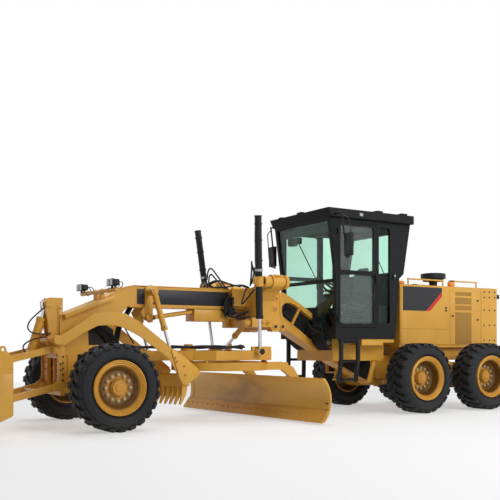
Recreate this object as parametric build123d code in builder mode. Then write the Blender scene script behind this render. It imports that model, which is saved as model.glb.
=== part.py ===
"""Motor grader in millimetres: +X forward, +Y to the machine's left, +Z up, wheels on z = 0."""

import os
from math import cos, pi, sin, sqrt

from build123d import *

os.makedirs("parts", exist_ok=True)

# Overall stations, with x counted from the front axle and moved to the frame's origin by point()
FRONT_AXLE_X = 3260
TANDEM_X = -6180
TANDEM_SPACING = 1523
TRACK = 2070
HINGE_X = -5360

# Wheels and tyres
TYRE_RADIUS = 583
TYRE_WIDTH = 440
LUG_HEIGHT = 32
LUG_COUNT = 24
LUG_WIDTH = 88
LUG_SWEEP = 72
BEAD_RADIUS = 0.566 * TYRE_RADIUS
RIM_FLANGE = 0.626 * TYRE_RADIUS
RIM_WIDTH = 340
FRONT_DISC_INSET = 75
TANDEM_DISC_INSET = 165
HUB_RADIUS = 0.206 * TYRE_RADIUS
STUD_CIRCLE = 0.2916 * TYRE_RADIUS
STUD_COUNT = 12
STUD_FLATS = 32
SEAT_GAP = 0.3
RUN_GAP = 0.08
MOVE_GAP = 6

# Front axle, lean yokes and spindles
LEAN_PIN = (TRACK / 2 - 405, 560)
LEAN_BAR_Z = 880
KINGPIN_Y = TRACK / 2 - 230
KINGPIN_RADIUS = 30
YOKE_REACH = 165
SPINDLE_RADIUS = 55

# Front frame
BEAM_HALF = 150
BEAM_TOP = 2000
BEAM_BOTTOM = 1700
BOLSTER_INNER = 200
BOLSTER_OUTER = 340
BALL_X = -430
BALL_Z = 960
BALL_RADIUS = 60
NOSE_X = 450
POCKET_WEB = 70
HITCH_PIN_RADIUS = 45

# Cab
CAB_HALF = 790
CAB_FRONT = -3850
CAB_REAR = -5100
CAB_FLOOR = 1235
ROOF_TOP = 3320
CAB_TOP = ROOF_TOP - 140
CAB_WALL = 60
CAB_POST = 64
ROOF_FRONT = -3660
ROOF_REAR = -5470
ROOF_HALF = 850
DOOR_FRONT = -3895
DOOR_REAR = -4690
DOOR_BOTTOM = 1420
DOOR_TOP = CAB_TOP - 60
DOOR_WAIST = 2310
DOOR_GAP = 6
DOOR_FRAME = 32
TUNNEL_HALF = 160

# Blade group
CIRCLE_X = -2170
CIRCLE_OUTER = 760
CIRCLE_INNER = 640
CIRCLE_TOP = 874
CIRCLE_BOTTOM = 750
DRAWBAR_BOTTOM = 907
DRAWBAR_TOP = 1050
GEAR_X = -1615
BLADE_TURN = 5.5
BLADE_LENGTH = 3660
BLADE_OFFSET = 85
BLADE_RADIUS = 413
BLADE_X = -2610
BLADE_TOP = 668
BLADE_FOOT = 35
BLADE_THICK = 25
EDGE_HEIGHT = 160
ARM_Y = 560
ARM_THICK = 60
TIP_PIN_X = -2985
TIP_PIN_Z = 330
RAIL_Z = (200, 500)
RAIL_SIZE = 50

# Cylinders: head or trunnion point, rod eye point, barrel radius and rod radius
LIFT_HEAD = (-2364, 850, 2090)
LIFT_EYE = (-2454, 736, 1040)
LIFT_TOP_Z = 3045
LIFT_BARREL = 52
LIFT_ROD = 26
LIFT_TRUNNION_RADIUS = 40
LIFT_TRUNNION_BACK = -2850
SHIFT_HEAD = (-2405, 400, 1475)
SHIFT_EYE = (-2405, -250, 1090)
SHIFT_TILT = 0.141
SHIFT_BARREL = 42
SHIFT_ROD = 24
RIPPER_HEAD = (-862, 400, 1910)
RIPPER_EYE = (-1130, 400, 1015)
RIPPER_BARREL = 42
RIPPER_ROD = 22
PUSH_HEAD = (600, 0, 1703)
PUSH_EYE_X = 814
PUSH_BARREL = 62
PUSH_ROD = 32
EYE_PIN = 26
EYE_WALL = 22
EYE_PLAY = 14

# Scarifier and front lift group
SCARIFIER_PIVOT = (600, 1205)
SCARIFIER_Y = 490
SCARIFIER_PLATE = 36
TOOTH_COUNT = 11
LINK_UPPER = (581, 1091)
LINK_LOWER = (581, 565)
LINK_RUN = (640, -150)
LINK_Y = 330
LINK_THICK = 44
PUSH_PLATE_HALF = 1300
PUSH_PLATE_TOP = 1080
PUSH_PLATE_FOOT = 190
PUSH_PLATE_FRONT = 1640

# Engine enclosure and rear frame
HOOD_FRONT = -5422
HOOD_REAR = -7850
HOOD_HALF = 550
HOOD_FOOT = 1135
HOOD_TOP = 2190
HOOD_WALL = 40
REAR_END = -8050


def point(x, y, z):
    """A point given from the front axle, in the machine's own frame."""
    return Vector(x + FRONT_AXLE_X, y, z)


def block(x_range, y_range, z_range, mode=Mode.ADD):
    """A box between two x, two y and two z values."""
    middle = point(sum(x_range) / 2, sum(y_range) / 2, sum(z_range) / 2)
    sides = [abs(pair[1] - pair[0]) for pair in (x_range, y_range, z_range)]
    with Locations(middle):
        Box(*sides, mode=mode)


def side_slab(outline, y_range, mode=Mode.ADD):
    """An outline of (x, z) points, extruded between two y values."""
    plane = Plane(origin=point(0, max(y_range), 0), x_dir=(1, 0, 0), z_dir=(0, -1, 0))
    with BuildSketch(plane) as section:
        Polygon(*outline, align=None)
    extrude(section.sketch, amount=abs(y_range[1] - y_range[0]), mode=mode)


def cross_slab(outline, x_range, mode=Mode.ADD):
    """An outline of (y, z) points, extruded between two x values."""
    plane = Plane(origin=point(min(x_range), 0, 0), x_dir=(0, 1, 0), z_dir=(1, 0, 0))
    with BuildSketch(plane) as section:
        Polygon(*outline, align=None)
    extrude(section.sketch, amount=abs(x_range[1] - x_range[0]), mode=mode)


def flat_slab(outline, z_range, mode=Mode.ADD):
    """An outline of (x, y) points, extruded between two z values."""
    with BuildSketch(Plane(origin=point(0, 0, min(z_range)))) as section:
        Polygon(*outline, align=None)
    extrude(section.sketch, amount=abs(z_range[1] - z_range[0]), mode=mode)


def bar(start, end, radius, mode=Mode.ADD):
    """A round bar from one point to another."""
    first, last = point(*start), point(*end)
    run = last - first
    with BuildSketch(Plane(origin=first, z_dir=run)) as section:
        Circle(radius)
    extrude(section.sketch, amount=run.length, mode=mode)


def both_sides(outline):
    """An outline of the left half, closed by its mirror image on the right."""
    return list(outline) + [(-first, second) for first, second in reversed(outline)]


def mirror_y(outline):
    """An (x, y) outline of the left half, closed by its mirror image on the right."""
    return list(outline) + [(first, -second) for first, second in reversed(outline)]


def save(piece, name):
    """Labels a finished piece and writes its file."""
    piece.label = name
    export_step(piece, f"parts/{name}.step")


# Tyre form on its own axle: a carcass with swept lugs that alternate left and right across its middle
with BuildPart() as tyre_form:
    carcass = TYRE_RADIUS - LUG_HEIGHT
    half = TYRE_WIDTH / 2
    seat = RIM_WIDTH / 2
    left_half = [
        (-seat, BEAD_RADIUS), (-seat, RIM_FLANGE + 4), (-half + 4, RIM_FLANGE + 40),
        (-half, BEAD_RADIUS + 120), (-half + 10, carcass - 46), (-half + 40, carcass),
    ]
    with BuildSketch(Plane.YZ):
        Polygon(*left_half, *[(-y, r) for y, r in reversed(left_half)], align=None)
    revolve(axis=Axis.Y)
    for lug_side, first_turn in ((1, 0), (-1, 0.5)):
        lug_planes = []
        for number in range(LUG_COUNT):
            angle = 2 * pi * (number + first_turn) / LUG_COUNT
            out = Vector(sin(angle), 0, cos(angle))
            lug_planes.append(Plane(origin=out * (carcass - 24), x_dir=(0, 1, 0), z_dir=out))
        lug = [
            (half - 2, -LUG_WIDTH), (half - 2, 0), (95, LUG_SWEEP - 56), (-12, LUG_SWEEP + 8),
            (-12, LUG_SWEEP - 52), (95, -LUG_WIDTH + 26),
        ]
        with BuildSketch(*lug_planes) as lug_sections:
            Polygon(*[(lug_side * across, along_tyre) for across, along_tyre in lug], align=None)
        extrude(amount=LUG_HEIGHT + 24)
    shoulder = [
        (-half, BEAD_RADIUS - 1), (-half, carcass - 30), (-half + 20, carcass + 10),
        (-half + 46, TYRE_RADIUS),
    ]
    with BuildSketch(Plane.YZ):
        Polygon(*shoulder, *[(-y, r) for y, r in reversed(shoulder)], align=None)
    revolve(axis=Axis.Y, mode=Mode.INTERSECT)

# Rim forms: flange, well, dished disc, hub and wheel nuts, outer side at +Y; the tandem's disc lies deeper
rim_forms = {}
for axle_name, disc_inset in (("front", FRONT_DISC_INSET), ("tandem", TANDEM_DISC_INSET)):
    with BuildPart() as rim_form:
        edge = RIM_WIDTH / 2
        disc = edge - disc_inset
        bore = BEAD_RADIUS - SEAT_GAP
        with BuildSketch(Plane.YZ):
            Polygon(
                (-edge, bore), (edge + SEAT_GAP, bore), (edge + SEAT_GAP, RIM_FLANGE),
                (edge + 38, RIM_FLANGE), (edge + 45, RIM_FLANGE - 12), (edge + 28, RIM_FLANGE - 22),
                (edge + 34, RIM_FLANGE - 36), (edge + 12, RIM_FLANGE - 48), (edge + 16, RIM_FLANGE - 62),
                (edge - 8, bore - 46), (disc + 34, bore - 72), (disc, STUD_CIRCLE + 55),
                (disc, HUB_RADIUS), (disc + 50, HUB_RADIUS - 12), (disc + 50, 0),
                (disc - 60, 0), (disc - 60, HUB_RADIUS + 20), (disc - 24, HUB_RADIUS + 20),
                (disc - 24, STUD_CIRCLE + 62), (-edge, bore - 26), align=None,
            )
        revolve(axis=Axis.Y)
        nut_plane = Plane(origin=(0, disc, 0), x_dir=(1, 0, 0), z_dir=(0, 1, 0))
        with BuildSketch(nut_plane):
            with PolarLocations(STUD_CIRCLE, STUD_COUNT):
                RegularPolygon(STUD_FLATS / 2, 6)
        extrude(amount=30)
        with BuildSketch(nut_plane.offset(-60)):
            Circle(SPINDLE_RADIUS + RUN_GAP)
        extrude(amount=40, mode=Mode.SUBTRACT)
    rim_forms[axle_name] = rim_form.part

# Wheel stations: name, x from the front axle, side of the machine
WHEELS = [
    ("front_left", 0, 1),
    ("front_right", 0, -1),
    ("tandem_left_front", TANDEM_X + TANDEM_SPACING / 2, 1),
    ("tandem_left_rear", TANDEM_X - TANDEM_SPACING / 2, 1),
    ("tandem_right_front", TANDEM_X + TANDEM_SPACING / 2, -1),
    ("tandem_right_rear", TANDEM_X - TANDEM_SPACING / 2, -1),
]
for wheel_name, wheel_x, wheel_side in WHEELS:
    hub_point = point(wheel_x, wheel_side * TRACK / 2, TYRE_RADIUS)
    turn = 0 if wheel_side > 0 else 180
    with BuildPart() as tyre:
        with Locations(Location(hub_point, (0, 0, 0))):
            add(tyre_form.part)
    save(tyre.part, f"tyre_{wheel_name}")
    with BuildPart() as rim:
        with Locations(Location(hub_point, (0, 0, turn))):
            add(rim_forms[wheel_name.split("_")[0]])
    save(rim.part, f"rim_{wheel_name}")

# Front axle beam: centre trunnion between the bolster plates, ends bored for the lean pins
lean_y, lean_z = LEAN_PIN
with BuildPart() as front_axle:
    cross_slab(
        both_sides(
            [(0, 800), (130, 800), (lean_y - 80, lean_z + 55), (lean_y - 80, lean_z - 55), (200, 560)]
        ),
        (-90, 90),
    )
    bar((-BOLSTER_INNER + MOVE_GAP, 0, 700), (BOLSTER_INNER - MOVE_GAP, 0, 700), 115)
    bar((-BOLSTER_OUTER, 0, 700), (BOLSTER_OUTER, 0, 700), 50)
    for side in (1, -1):
        bar((-55, side * lean_y, lean_z), (55, side * lean_y, lean_z), 62)
        block((-55, 55), (side * (lean_y - 90), side * lean_y), (lean_z - 55, lean_z + 55))
        bar((-120, side * lean_y, lean_z), (120, side * lean_y, lean_z), KINGPIN_RADIUS)
save(front_axle.part, "front_axle")

# Lean yokes: ears on the lean pin, a web, kingpin arms above and below, and an ear for the lean bar
for side_name, side in (("left", 1), ("right", -1)):
    with BuildPart() as lean_yoke:
        web = (side * (lean_y + 70), side * (lean_y + 105))
        block((-105, 105), web, (TYRE_RADIUS - YOKE_REACH, LEAN_BAR_Z + 30))
        block((-106, -40), web, (TYRE_RADIUS - 98, TYRE_RADIUS - 42), Mode.SUBTRACT)
        for ear_x in (-105, 61):
            block((ear_x, ear_x + 44), (side * lean_y, side * (lean_y + 75)), (lean_z - 55, lean_z + 55))
            bar((ear_x, side * lean_y, lean_z), (ear_x + 44, side * lean_y, lean_z), 55)
        pin_bore = KINGPIN_RADIUS + SEAT_GAP
        bar((-120, side * lean_y, lean_z), (120, side * lean_y, lean_z), pin_bore, Mode.SUBTRACT)
        for arm_z in (TYRE_RADIUS + 115, TYRE_RADIUS - YOKE_REACH):
            block((-60, 60), (side * (lean_y + 72), side * KINGPIN_Y), (arm_z, arm_z + 50))
            bar((0, side * KINGPIN_Y, arm_z), (0, side * KINGPIN_Y, arm_z + 50), 58)
        bar(
            (0, side * KINGPIN_Y, TYRE_RADIUS - YOKE_REACH), (0, side * KINGPIN_Y, TYRE_RADIUS + YOKE_REACH),
            KINGPIN_RADIUS,
        )
        for ear_x in (-74, 40):
            ear_y = (side * (lean_y - 40), side * (lean_y + 75))
            block((ear_x, ear_x + 34), ear_y, (LEAN_BAR_Z - 42, LEAN_BAR_Z + 30))
        bar((-74, side * lean_y, LEAN_BAR_Z), (74, side * lean_y, LEAN_BAR_Z), 20)
    save(lean_yoke.part, f"lean_yoke_{side_name}")

    # Spindles: a boss on the kingpin, a steering arm behind and the wheel's stub axle
    with BuildPart() as spindle:
        low, high = TYRE_RADIUS - YOKE_REACH + 55, TYRE_RADIUS + 110
        bar((0, side * KINGPIN_Y, low), (0, side * KINGPIN_Y, high), 56)
        hub_back = TRACK / 2 + RIM_WIDTH / 2 - FRONT_DISC_INSET - 60
        stub_end = (0, side * (hub_back + 38), TYRE_RADIUS)
        bar((0, side * (KINGPIN_Y + 20), TYRE_RADIUS), stub_end, SPINDLE_RADIUS)
        block((-130, -30), (side * KINGPIN_Y, side * (KINGPIN_Y + 35)), (low + 20, low + 50))
        bar(
            (0, side * KINGPIN_Y, low), (0, side * KINGPIN_Y, high), KINGPIN_RADIUS + SEAT_GAP, Mode.SUBTRACT,
        )
    save(spindle.part, f"spindle_{side_name}")

# Lean bar joins the tops of the two lean yokes
with BuildPart() as lean_bar:
    block((-34, 34), (-lean_y, lean_y), (LEAN_BAR_Z - 28, LEAN_BAR_Z + 28))
    for side in (1, -1):
        bar((-34, side * lean_y, LEAN_BAR_Z), (34, side * lean_y, LEAN_BAR_Z), 34)
    for side in (1, -1):
        bar((-34, side * lean_y, LEAN_BAR_Z), (34, side * lean_y, LEAN_BAR_Z), 20 + SEAT_GAP, Mode.SUBTRACT)
save(lean_bar.part, "lean_bar")

# Front frame: gooseneck beam from the bolster over the blade and down to the articulation hinge
with BuildPart() as front_frame:
    side_slab(
        [
            (NOSE_X, 1530), (-150, 1775), (-460, 1950), (-620, BEAM_TOP), (-3050, 2010), (-3290, 1985),
            (-3589, 1827), (-4102, 1500), (-4350, 1190), (-5180, 1130), (-5180, 430), (-4355, 812),
            (-3193, 1460), (-2950, BEAM_BOTTOM), (-560, BEAM_BOTTOM), (-370, 1500), (-BOLSTER_OUTER, 1150),
            (-BOLSTER_OUTER, 640), (-BOLSTER_INNER, 640), (-BOLSTER_INNER, 1010), (BOLSTER_INNER, 1010),
            (BOLSTER_INNER, 640), (BOLSTER_OUTER, 640), (BOLSTER_OUTER, 1000), (NOSE_X, 1000),
        ],
        (-BEAM_HALF, BEAM_HALF),
    )
    bar((-BOLSTER_OUTER - 1, 0, 700), (BOLSTER_OUTER + 1, 0, 700), 50 + SEAT_GAP, Mode.SUBTRACT)
    side_slab([(-BOLSTER_OUTER, 880), (-BOLSTER_OUTER, 1040), (-375, 1040), (-375, 880)], (-80, 80))
    bar((-370, 0, BALL_Z), (BALL_X, 0, BALL_Z), 32)
    with Locations(point(BALL_X, 0, BALL_Z)):
        Sphere(BALL_RADIUS)
    for side in (1, -1):
        pocket = (side * POCKET_WEB, side * (BEAM_HALF + 1))
        side_slab(
            [
                (-3262, 1600), (-3232, 1680), (-3248, 1765), (-3305, 1820), (-3400, 1828), (-3500, 1795),
                (-3640, 1706), (-3992, 1475), (-4060, 1400), (-3990, 1115),
            ],
            pocket, Mode.SUBTRACT,
        )
        side_slab(
            [(-3411, 1451), (-3449, 1429), (-3644, 1761), (-3606, 1783)],
            (side * POCKET_WEB, side * (BEAM_HALF - 8)),
        )
    for low, high in ((430, 520), (960, 1120)):
        block((HINGE_X, -5100), (-130, 130), (low, high))
        bar((HINGE_X, 0, low), (HINGE_X, 0, high), 130)
    bar((HINGE_X, 0, 400), (HINGE_X, 0, 1126), HITCH_PIN_RADIUS)
    block((-4000, -5100), (-500, 500), (870, CAB_FLOOR - SEAT_GAP))
    block((-5100, -5150), (-300, 300), (960, 1120))
    for side in (1, -1):
        block((-4400, -4850), (side * 499, side * (CAB_HALF - 20)), (1130, CAB_FLOOR - SEAT_GAP))
        block((-4849, -5090), (side * 499, side * (CAB_HALF - 20)), (1175, CAB_FLOOR - SEAT_GAP))
    bar((RIPPER_HEAD[0], -445, RIPPER_HEAD[2]), (RIPPER_HEAD[0], 445, RIPPER_HEAD[2]), 30)
save(front_frame.part, "front_frame")

# The tandem cases stand clear of the tyres' inner sides
case_outer = TRACK / 2 - TYRE_WIDTH / 2 - 25
case_inner = case_outer - 180

# Rear frame: two rails, hinge tongue, tandem cross tube, bumper and hitch
with BuildPart() as rear_frame:
    block((HINGE_X, -5620), (-110, 110), (530, 950))
    bar((HINGE_X, 0, 530), (HINGE_X, 0, 950), 110)
    bar((HINGE_X, 0, 500), (HINGE_X, 0, 980), HITCH_PIN_RADIUS + SEAT_GAP, Mode.SUBTRACT)
    block((-5600, -5680), (-420, 420), (500, 1120))
    for side in (1, -1):
        block((-5600, REAR_END + 150), (side * 300, side * 420), (860, 1120))
        block((HOOD_FRONT, HOOD_REAR), (side * 300, side * (HOOD_HALF - 6)), (1090, HOOD_FOOT - SEAT_GAP))
    block((REAR_END + 150, REAR_END), (-560, 560), (700, 1120))
    tube_z = TYRE_RADIUS + 60
    bar((TANDEM_X, SEAT_GAP - case_inner, tube_z), (TANDEM_X, case_inner - SEAT_GAP, tube_z), 130)
    block((TANDEM_X - 220, TANDEM_X + 220), (-420, 420), (TYRE_RADIUS + 60, 900))
    block((REAR_END + 10, REAR_END - 110), (-70, 70), (760, 800))
    block((REAR_END + 10, REAR_END - 110), (-70, 70), (900, 940))
    bar((REAR_END - 60, 0, 740), (REAR_END - 60, 0, 960), 24, Mode.SUBTRACT)
save(rear_frame.part, "rear_frame")

# Tandem cases: chain housings on each side with a wheel shaft at each end
for side_name, side in (("left", 1), ("right", -1)):
    with BuildPart() as tandem:
        hub_back = TRACK / 2 + RIM_WIDTH / 2 - TANDEM_DISC_INSET - 60
        for axle_x in (TANDEM_X + TANDEM_SPACING / 2, TANDEM_X - TANDEM_SPACING / 2):
            bar((axle_x, side * case_inner, TYRE_RADIUS), (axle_x, side * case_outer, TYRE_RADIUS), 200)
            shaft_end = (axle_x, side * (hub_back + 38), TYRE_RADIUS)
            bar((axle_x, side * case_outer, TYRE_RADIUS), shaft_end, SPINDLE_RADIUS)
        side_slab(
            [
                (TANDEM_X + TANDEM_SPACING / 2, TYRE_RADIUS + 200), (TANDEM_X, TYRE_RADIUS + 280),
                (TANDEM_X - TANDEM_SPACING / 2, TYRE_RADIUS + 200),
                (TANDEM_X - TANDEM_SPACING / 2, TYRE_RADIUS - 200),
                (TANDEM_X + TANDEM_SPACING / 2, TYRE_RADIUS - 200),
            ],
            (side * case_inner, side * case_outer),
        )
    save(tandem.part, f"tandem_{side_name}")

# Hood: hollow engine enclosure with side louvres and a rear grille opening
with BuildPart() as hood:
    block((HOOD_FRONT, HOOD_REAR), (-HOOD_HALF, HOOD_HALF), (HOOD_FOOT, HOOD_TOP))
    block(
        (HOOD_FRONT - HOOD_WALL, HOOD_REAR + HOOD_WALL), (-HOOD_HALF + HOOD_WALL, HOOD_HALF - HOOD_WALL),
        (HOOD_FOOT, HOOD_TOP - HOOD_WALL), Mode.SUBTRACT,
    )
    for row in range(6):
        slot_z = 1200 + row * 150
        block((-6780, -7140), (-HOOD_HALF - 1, HOOD_HALF + 1), (slot_z, slot_z + 60), Mode.SUBTRACT)
    block((HOOD_REAR - 1, HOOD_REAR + HOOD_WALL + 1), (-400, 400), (1300, 2050), Mode.SUBTRACT)
    for row in range(6):
        block((HOOD_REAR, HOOD_REAR + HOOD_WALL), (-400, 400), (1390 + row * 110, 1420 + row * 110))
save(hood.part, "hood")

# Engine block at its real place and size
with BuildPart() as engine:
    block((-5900, -7100), (-320, 320), (HOOD_FOOT, 1900))
save(engine.part, "engine")

# Intake precleaner on the hood
with BuildPart() as precleaner:
    bar((-6750, 0, HOOD_TOP + SEAT_GAP), (-6750, 0, 2330), 75)
    bar((-6750, 0, 2320), (-6750, 0, 2370), 190)
    bar((-6750, 0, 2370), (-6750, 0, 2460), 230)
save(precleaner.part, "precleaner")

# Handrails along the top of the hood
with BuildPart() as hood_rails:
    for side in (1, -1):
        rail_y = side * (HOOD_HALF - 40)
        for rail_start, rail_end in ((-5640, -6500), (-6740, -7350)):
            bar((rail_start, rail_y, 2290), (rail_end, rail_y, 2290), 14)
            for post_x in (rail_start - 14, rail_end + 14):
                bar((post_x, rail_y, HOOD_TOP + SEAT_GAP), (post_x, rail_y, 2290), 14)
save(hood_rails.part, "hood_rails")

# Door hinges: knuckle heights, and the hinge pin's place outside the door's front edge
HINGE_HEIGHTS = (1560, DOOR_TOP - 160)
DOOR_PIN = (DOOR_FRONT, CAB_HALF + 16)

# Cab shell: hollow, with the windows and both doorways cut, and a tunnel over the front frame
low_pane = both_sides(
    [
        (TUNNEL_HALF + 40, 1760), (TUNNEL_HALF + 40, 1400), (CAB_HALF - CAB_POST, 1400),
        (CAB_HALF - CAB_POST, 2150),
    ]
)
with BuildPart() as cab_shell:
    cab_outline = [
        (-3720, CAB_TOP), (CAB_REAR - 340, CAB_TOP), (CAB_REAR - 190, 2330), (CAB_REAR - 96, 2250),
        (CAB_REAR, CAB_FLOOR), (CAB_FRONT, CAB_FLOOR), (CAB_FRONT - 10, 2180),
    ]
    side_slab(cab_outline, (-CAB_HALF, CAB_HALF))
    inner_outline = [
        (-3720 - CAB_WALL, CAB_TOP), (CAB_REAR - 340 + CAB_WALL, CAB_TOP), (CAB_REAR - 190 + CAB_WALL, 2330),
        (CAB_REAR - 96 + CAB_WALL, 2250), (CAB_REAR + CAB_WALL, CAB_FLOOR + CAB_WALL),
        (CAB_FRONT - CAB_WALL, CAB_FLOOR + CAB_WALL),
        (CAB_FRONT - 10 - CAB_WALL, 2180),
    ]
    side_slab(inner_outline, (-CAB_HALF + CAB_WALL, CAB_HALF - CAB_WALL), Mode.SUBTRACT)
    side_slab(
        [(CAB_FRONT, CAB_FLOOR), (CAB_FRONT, 1705), (-4117, 1538), (-4365, CAB_FLOOR)],
        (-TUNNEL_HALF - 25, TUNNEL_HALF + 25),
    )
    side_slab(
        [(-3780, CAB_FLOOR - 1), (-3780, 1722), (-4108, 1512), (-4335, CAB_FLOOR - 1)],
        (-TUNNEL_HALF, TUNNEL_HALF), Mode.SUBTRACT,
    )
    for side in (1, -1):
        wall = (side * (CAB_HALF - CAB_WALL - 1), side * (CAB_HALF + 1))
        block((DOOR_FRONT, DOOR_REAR), wall, (DOOR_BOTTOM, DOOR_TOP), Mode.SUBTRACT)
        block((-4735, -5000), wall, (1480, CAB_TOP - 80), Mode.SUBTRACT)
        pin_x, pin_y = DOOR_PIN
        for hinge_z in HINGE_HEIGHTS:
            bar((pin_x, side * pin_y, hinge_z - 50), (pin_x, side * pin_y, hinge_z + 50), 8)
            for lug_low in (hinge_z - 50, hinge_z + 34):
                bar((pin_x, side * pin_y, lug_low), (pin_x, side * pin_y, lug_low + 16), 12)
                block((pin_x, pin_x + 34), (side * CAB_HALF, side * (pin_y + 12)), (lug_low, lug_low + 16))
    cross_slab(low_pane, (CAB_FRONT - CAB_WALL - 20, CAB_FRONT + 20), Mode.SUBTRACT)
    cross_slab(
        both_sides([(CAB_HALF - CAB_POST, 2205), (CAB_HALF - CAB_POST, CAB_TOP - 60)]),
        (CAB_FRONT - CAB_WALL - 20, -3600), Mode.SUBTRACT,
    )
    cross_slab(
        both_sides([(CAB_HALF - 110, 2380), (CAB_HALF - 110, CAB_TOP - 120)]),
        (CAB_REAR - 380, CAB_REAR - 100), Mode.SUBTRACT,
    )
save(cab_shell.part, "cab_shell")

# Fixed cab glass: two windscreen panes, two rear quarter panes and the rear window
with BuildPart() as cab_glass:
    pane = CAB_HALF - CAB_POST - SEAT_GAP
    cross_slab(
        both_sides(
            [
                (TUNNEL_HALF + 40 + SEAT_GAP, 1760 + SEAT_GAP),
                (TUNNEL_HALF + 40 + SEAT_GAP, 1400 + SEAT_GAP),
                (pane, 1400 + SEAT_GAP), (pane, 2150 - SEAT_GAP),
            ]
        ),
        (-3893, -3885),
    )
    low, high = 2205 + SEAT_GAP, CAB_TOP - 60 - SEAT_GAP
    foot_x = CAB_FRONT - 10 + (low - 2180) * 140 / (CAB_TOP - 2180) - 26
    head_x = CAB_FRONT - 10 + (high - 2180) * 140 / (CAB_TOP - 2180) - 26
    side_slab([(foot_x - 8, low), (foot_x, low), (head_x, high), (head_x - 8, high)], (-pane, pane))
    low, high = 2380 + SEAT_GAP, CAB_TOP - 120 - SEAT_GAP
    foot_x = CAB_REAR - 190 - (low - 2330) * 150 / (CAB_TOP - 2330) + 30
    head_x = CAB_REAR - 190 - (high - 2330) * 150 / (CAB_TOP - 2330) + 30
    pane = CAB_HALF - 110 - SEAT_GAP
    side_slab([(foot_x, low), (foot_x + 8, low), (head_x + 8, high), (head_x, high)], (-pane, pane))
    for side in (1, -1):
        block(
            (-4735 - SEAT_GAP, -5000 + SEAT_GAP), (side * (CAB_HALF - 34), side * (CAB_HALF - 26)),
            (1480 + SEAT_GAP, CAB_TOP - 80 - SEAT_GAP),
        )
save(cab_glass.part, "cab_glass")

# Cab roof with its overhanging front visor
with BuildPart() as cab_roof:
    side_slab(
        [
            (ROOF_FRONT, ROOF_TOP), (ROOF_REAR, ROOF_TOP), (ROOF_REAR, CAB_TOP + SEAT_GAP),
            (-3730, CAB_TOP + SEAT_GAP),
        ],
        (-ROOF_HALF, ROOF_HALF),
    )
save(cab_roof.part, "cab_roof")

# Doors: a frame the whole wall thick with its upper and lower panes cut, hinged at the front
for side_name, side in (("left", 1), ("right", -1)):
    door_x = (DOOR_FRONT - DOOR_GAP, DOOR_REAR + DOOR_GAP)
    door_wall = (side * (CAB_HALF - CAB_WALL), side * CAB_HALF)
    panes = [
        (DOOR_BOTTOM + DOOR_GAP + 50, DOOR_WAIST - 25),
        (DOOR_WAIST + 25, DOOR_TOP - DOOR_GAP - DOOR_FRAME),
    ]
    with BuildPart() as door:
        block(door_x, door_wall, (DOOR_BOTTOM + DOOR_GAP, DOOR_TOP - DOOR_GAP))
        for pane_low, pane_high in panes:
            cut = (side * (CAB_HALF - CAB_WALL - 1), side * (CAB_HALF + 1))
            block((door_x[0] - DOOR_FRAME, door_x[1] + DOOR_FRAME), cut, (pane_low, pane_high), Mode.SUBTRACT)
        block((DOOR_REAR + 10, DOOR_REAR + 34), (side * CAB_HALF, side * (CAB_HALF + 40)), (2150, 2290))
        pin_x, pin_y = DOOR_PIN
        for hinge_z in HINGE_HEIGHTS:
            knuckle = ((pin_x, side * pin_y, hinge_z - 32), (pin_x, side * pin_y, hinge_z + 32))
            bar(*knuckle, 14)
            block((pin_x - 36, pin_x - 6), (side * CAB_HALF, side * pin_y), (hinge_z - 32, hinge_z + 32))
            bar(*knuckle, 8 + RUN_GAP, Mode.SUBTRACT)
    save(door.part, f"door_{side_name}")
    with BuildPart() as door_glass:
        for pane_low, pane_high in panes:
            block(
                (door_x[0] - DOOR_FRAME - SEAT_GAP, door_x[1] + DOOR_FRAME + SEAT_GAP),
                (side * (CAB_HALF - 34), side * (CAB_HALF - 26)), (pane_low + SEAT_GAP, pane_high - SEAT_GAP),
            )
    save(door_glass.part, f"door_glass_{side_name}")

# Operator's seat on its pedestal
with BuildPart() as seat:
    floor = CAB_FLOOR + CAB_WALL + SEAT_GAP
    block((-4670, -4970), (-170, 170), (floor, 1720))
    block((-4540, -5040), (-260, 260), (1720, 1840))
    side_slab([(-4920, 1840), (-5040, 1840), (-5110, 2480), (-5010, 2500)], (-240, 240))
save(seat.part, "seat")

# Steering console: pedestal, column and wheel
with BuildPart() as console:
    side_slab([(-4000, 1611.7), (-4110, 1542.9), (-4380, 1960), (-4280, 2010)], (-120, 120))
    bar((-4330, 0, 1960), (-4400, 0, 2080), 30)
    wheel_plane = Plane(origin=point(-4400, 0, 2080), z_dir=(-70, 0, 120))
    with BuildSketch(wheel_plane) as wheel_ring:
        Circle(210)
        Circle(178, mode=Mode.SUBTRACT)
        Rectangle(380, 40)
    extrude(wheel_ring.sketch, amount=26)
save(console.part, "console")

# Mirrors on tubular brackets at the cab's front corners
with BuildPart() as mirrors:
    for side in (1, -1):
        arm_z = ROOF_TOP - 95
        bar((-3790, side * (ROOF_HALF + SEAT_GAP), arm_z), (-3790, side * 1034, arm_z), 14)
        bar((-3789, side * 1020, arm_z + 11), (-3886, side * 1032, ROOF_TOP - 820), 14)
        block((-3860, -3900), (side * 1000, side * 1180), (ROOF_TOP - 780, ROOF_TOP - 420))
save(mirrors.part, "mirrors")

# Ladders under the cab doors
with BuildPart() as ladders:
    for side in (1, -1):
        for post_x in (-3980, -4330):
            bar((post_x, side * 760, CAB_FLOOR - SEAT_GAP), (post_x, side * 760, 900), 26)
            bar((post_x, side * 760, 900), (post_x + 30, side * 730, 535), 26)
        for rung_z in (1180, 870, 570):
            bar((-3980, side * 755, rung_z), (-4330, side * 755, rung_z), 18)
save(ladders.part, "ladders")

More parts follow.
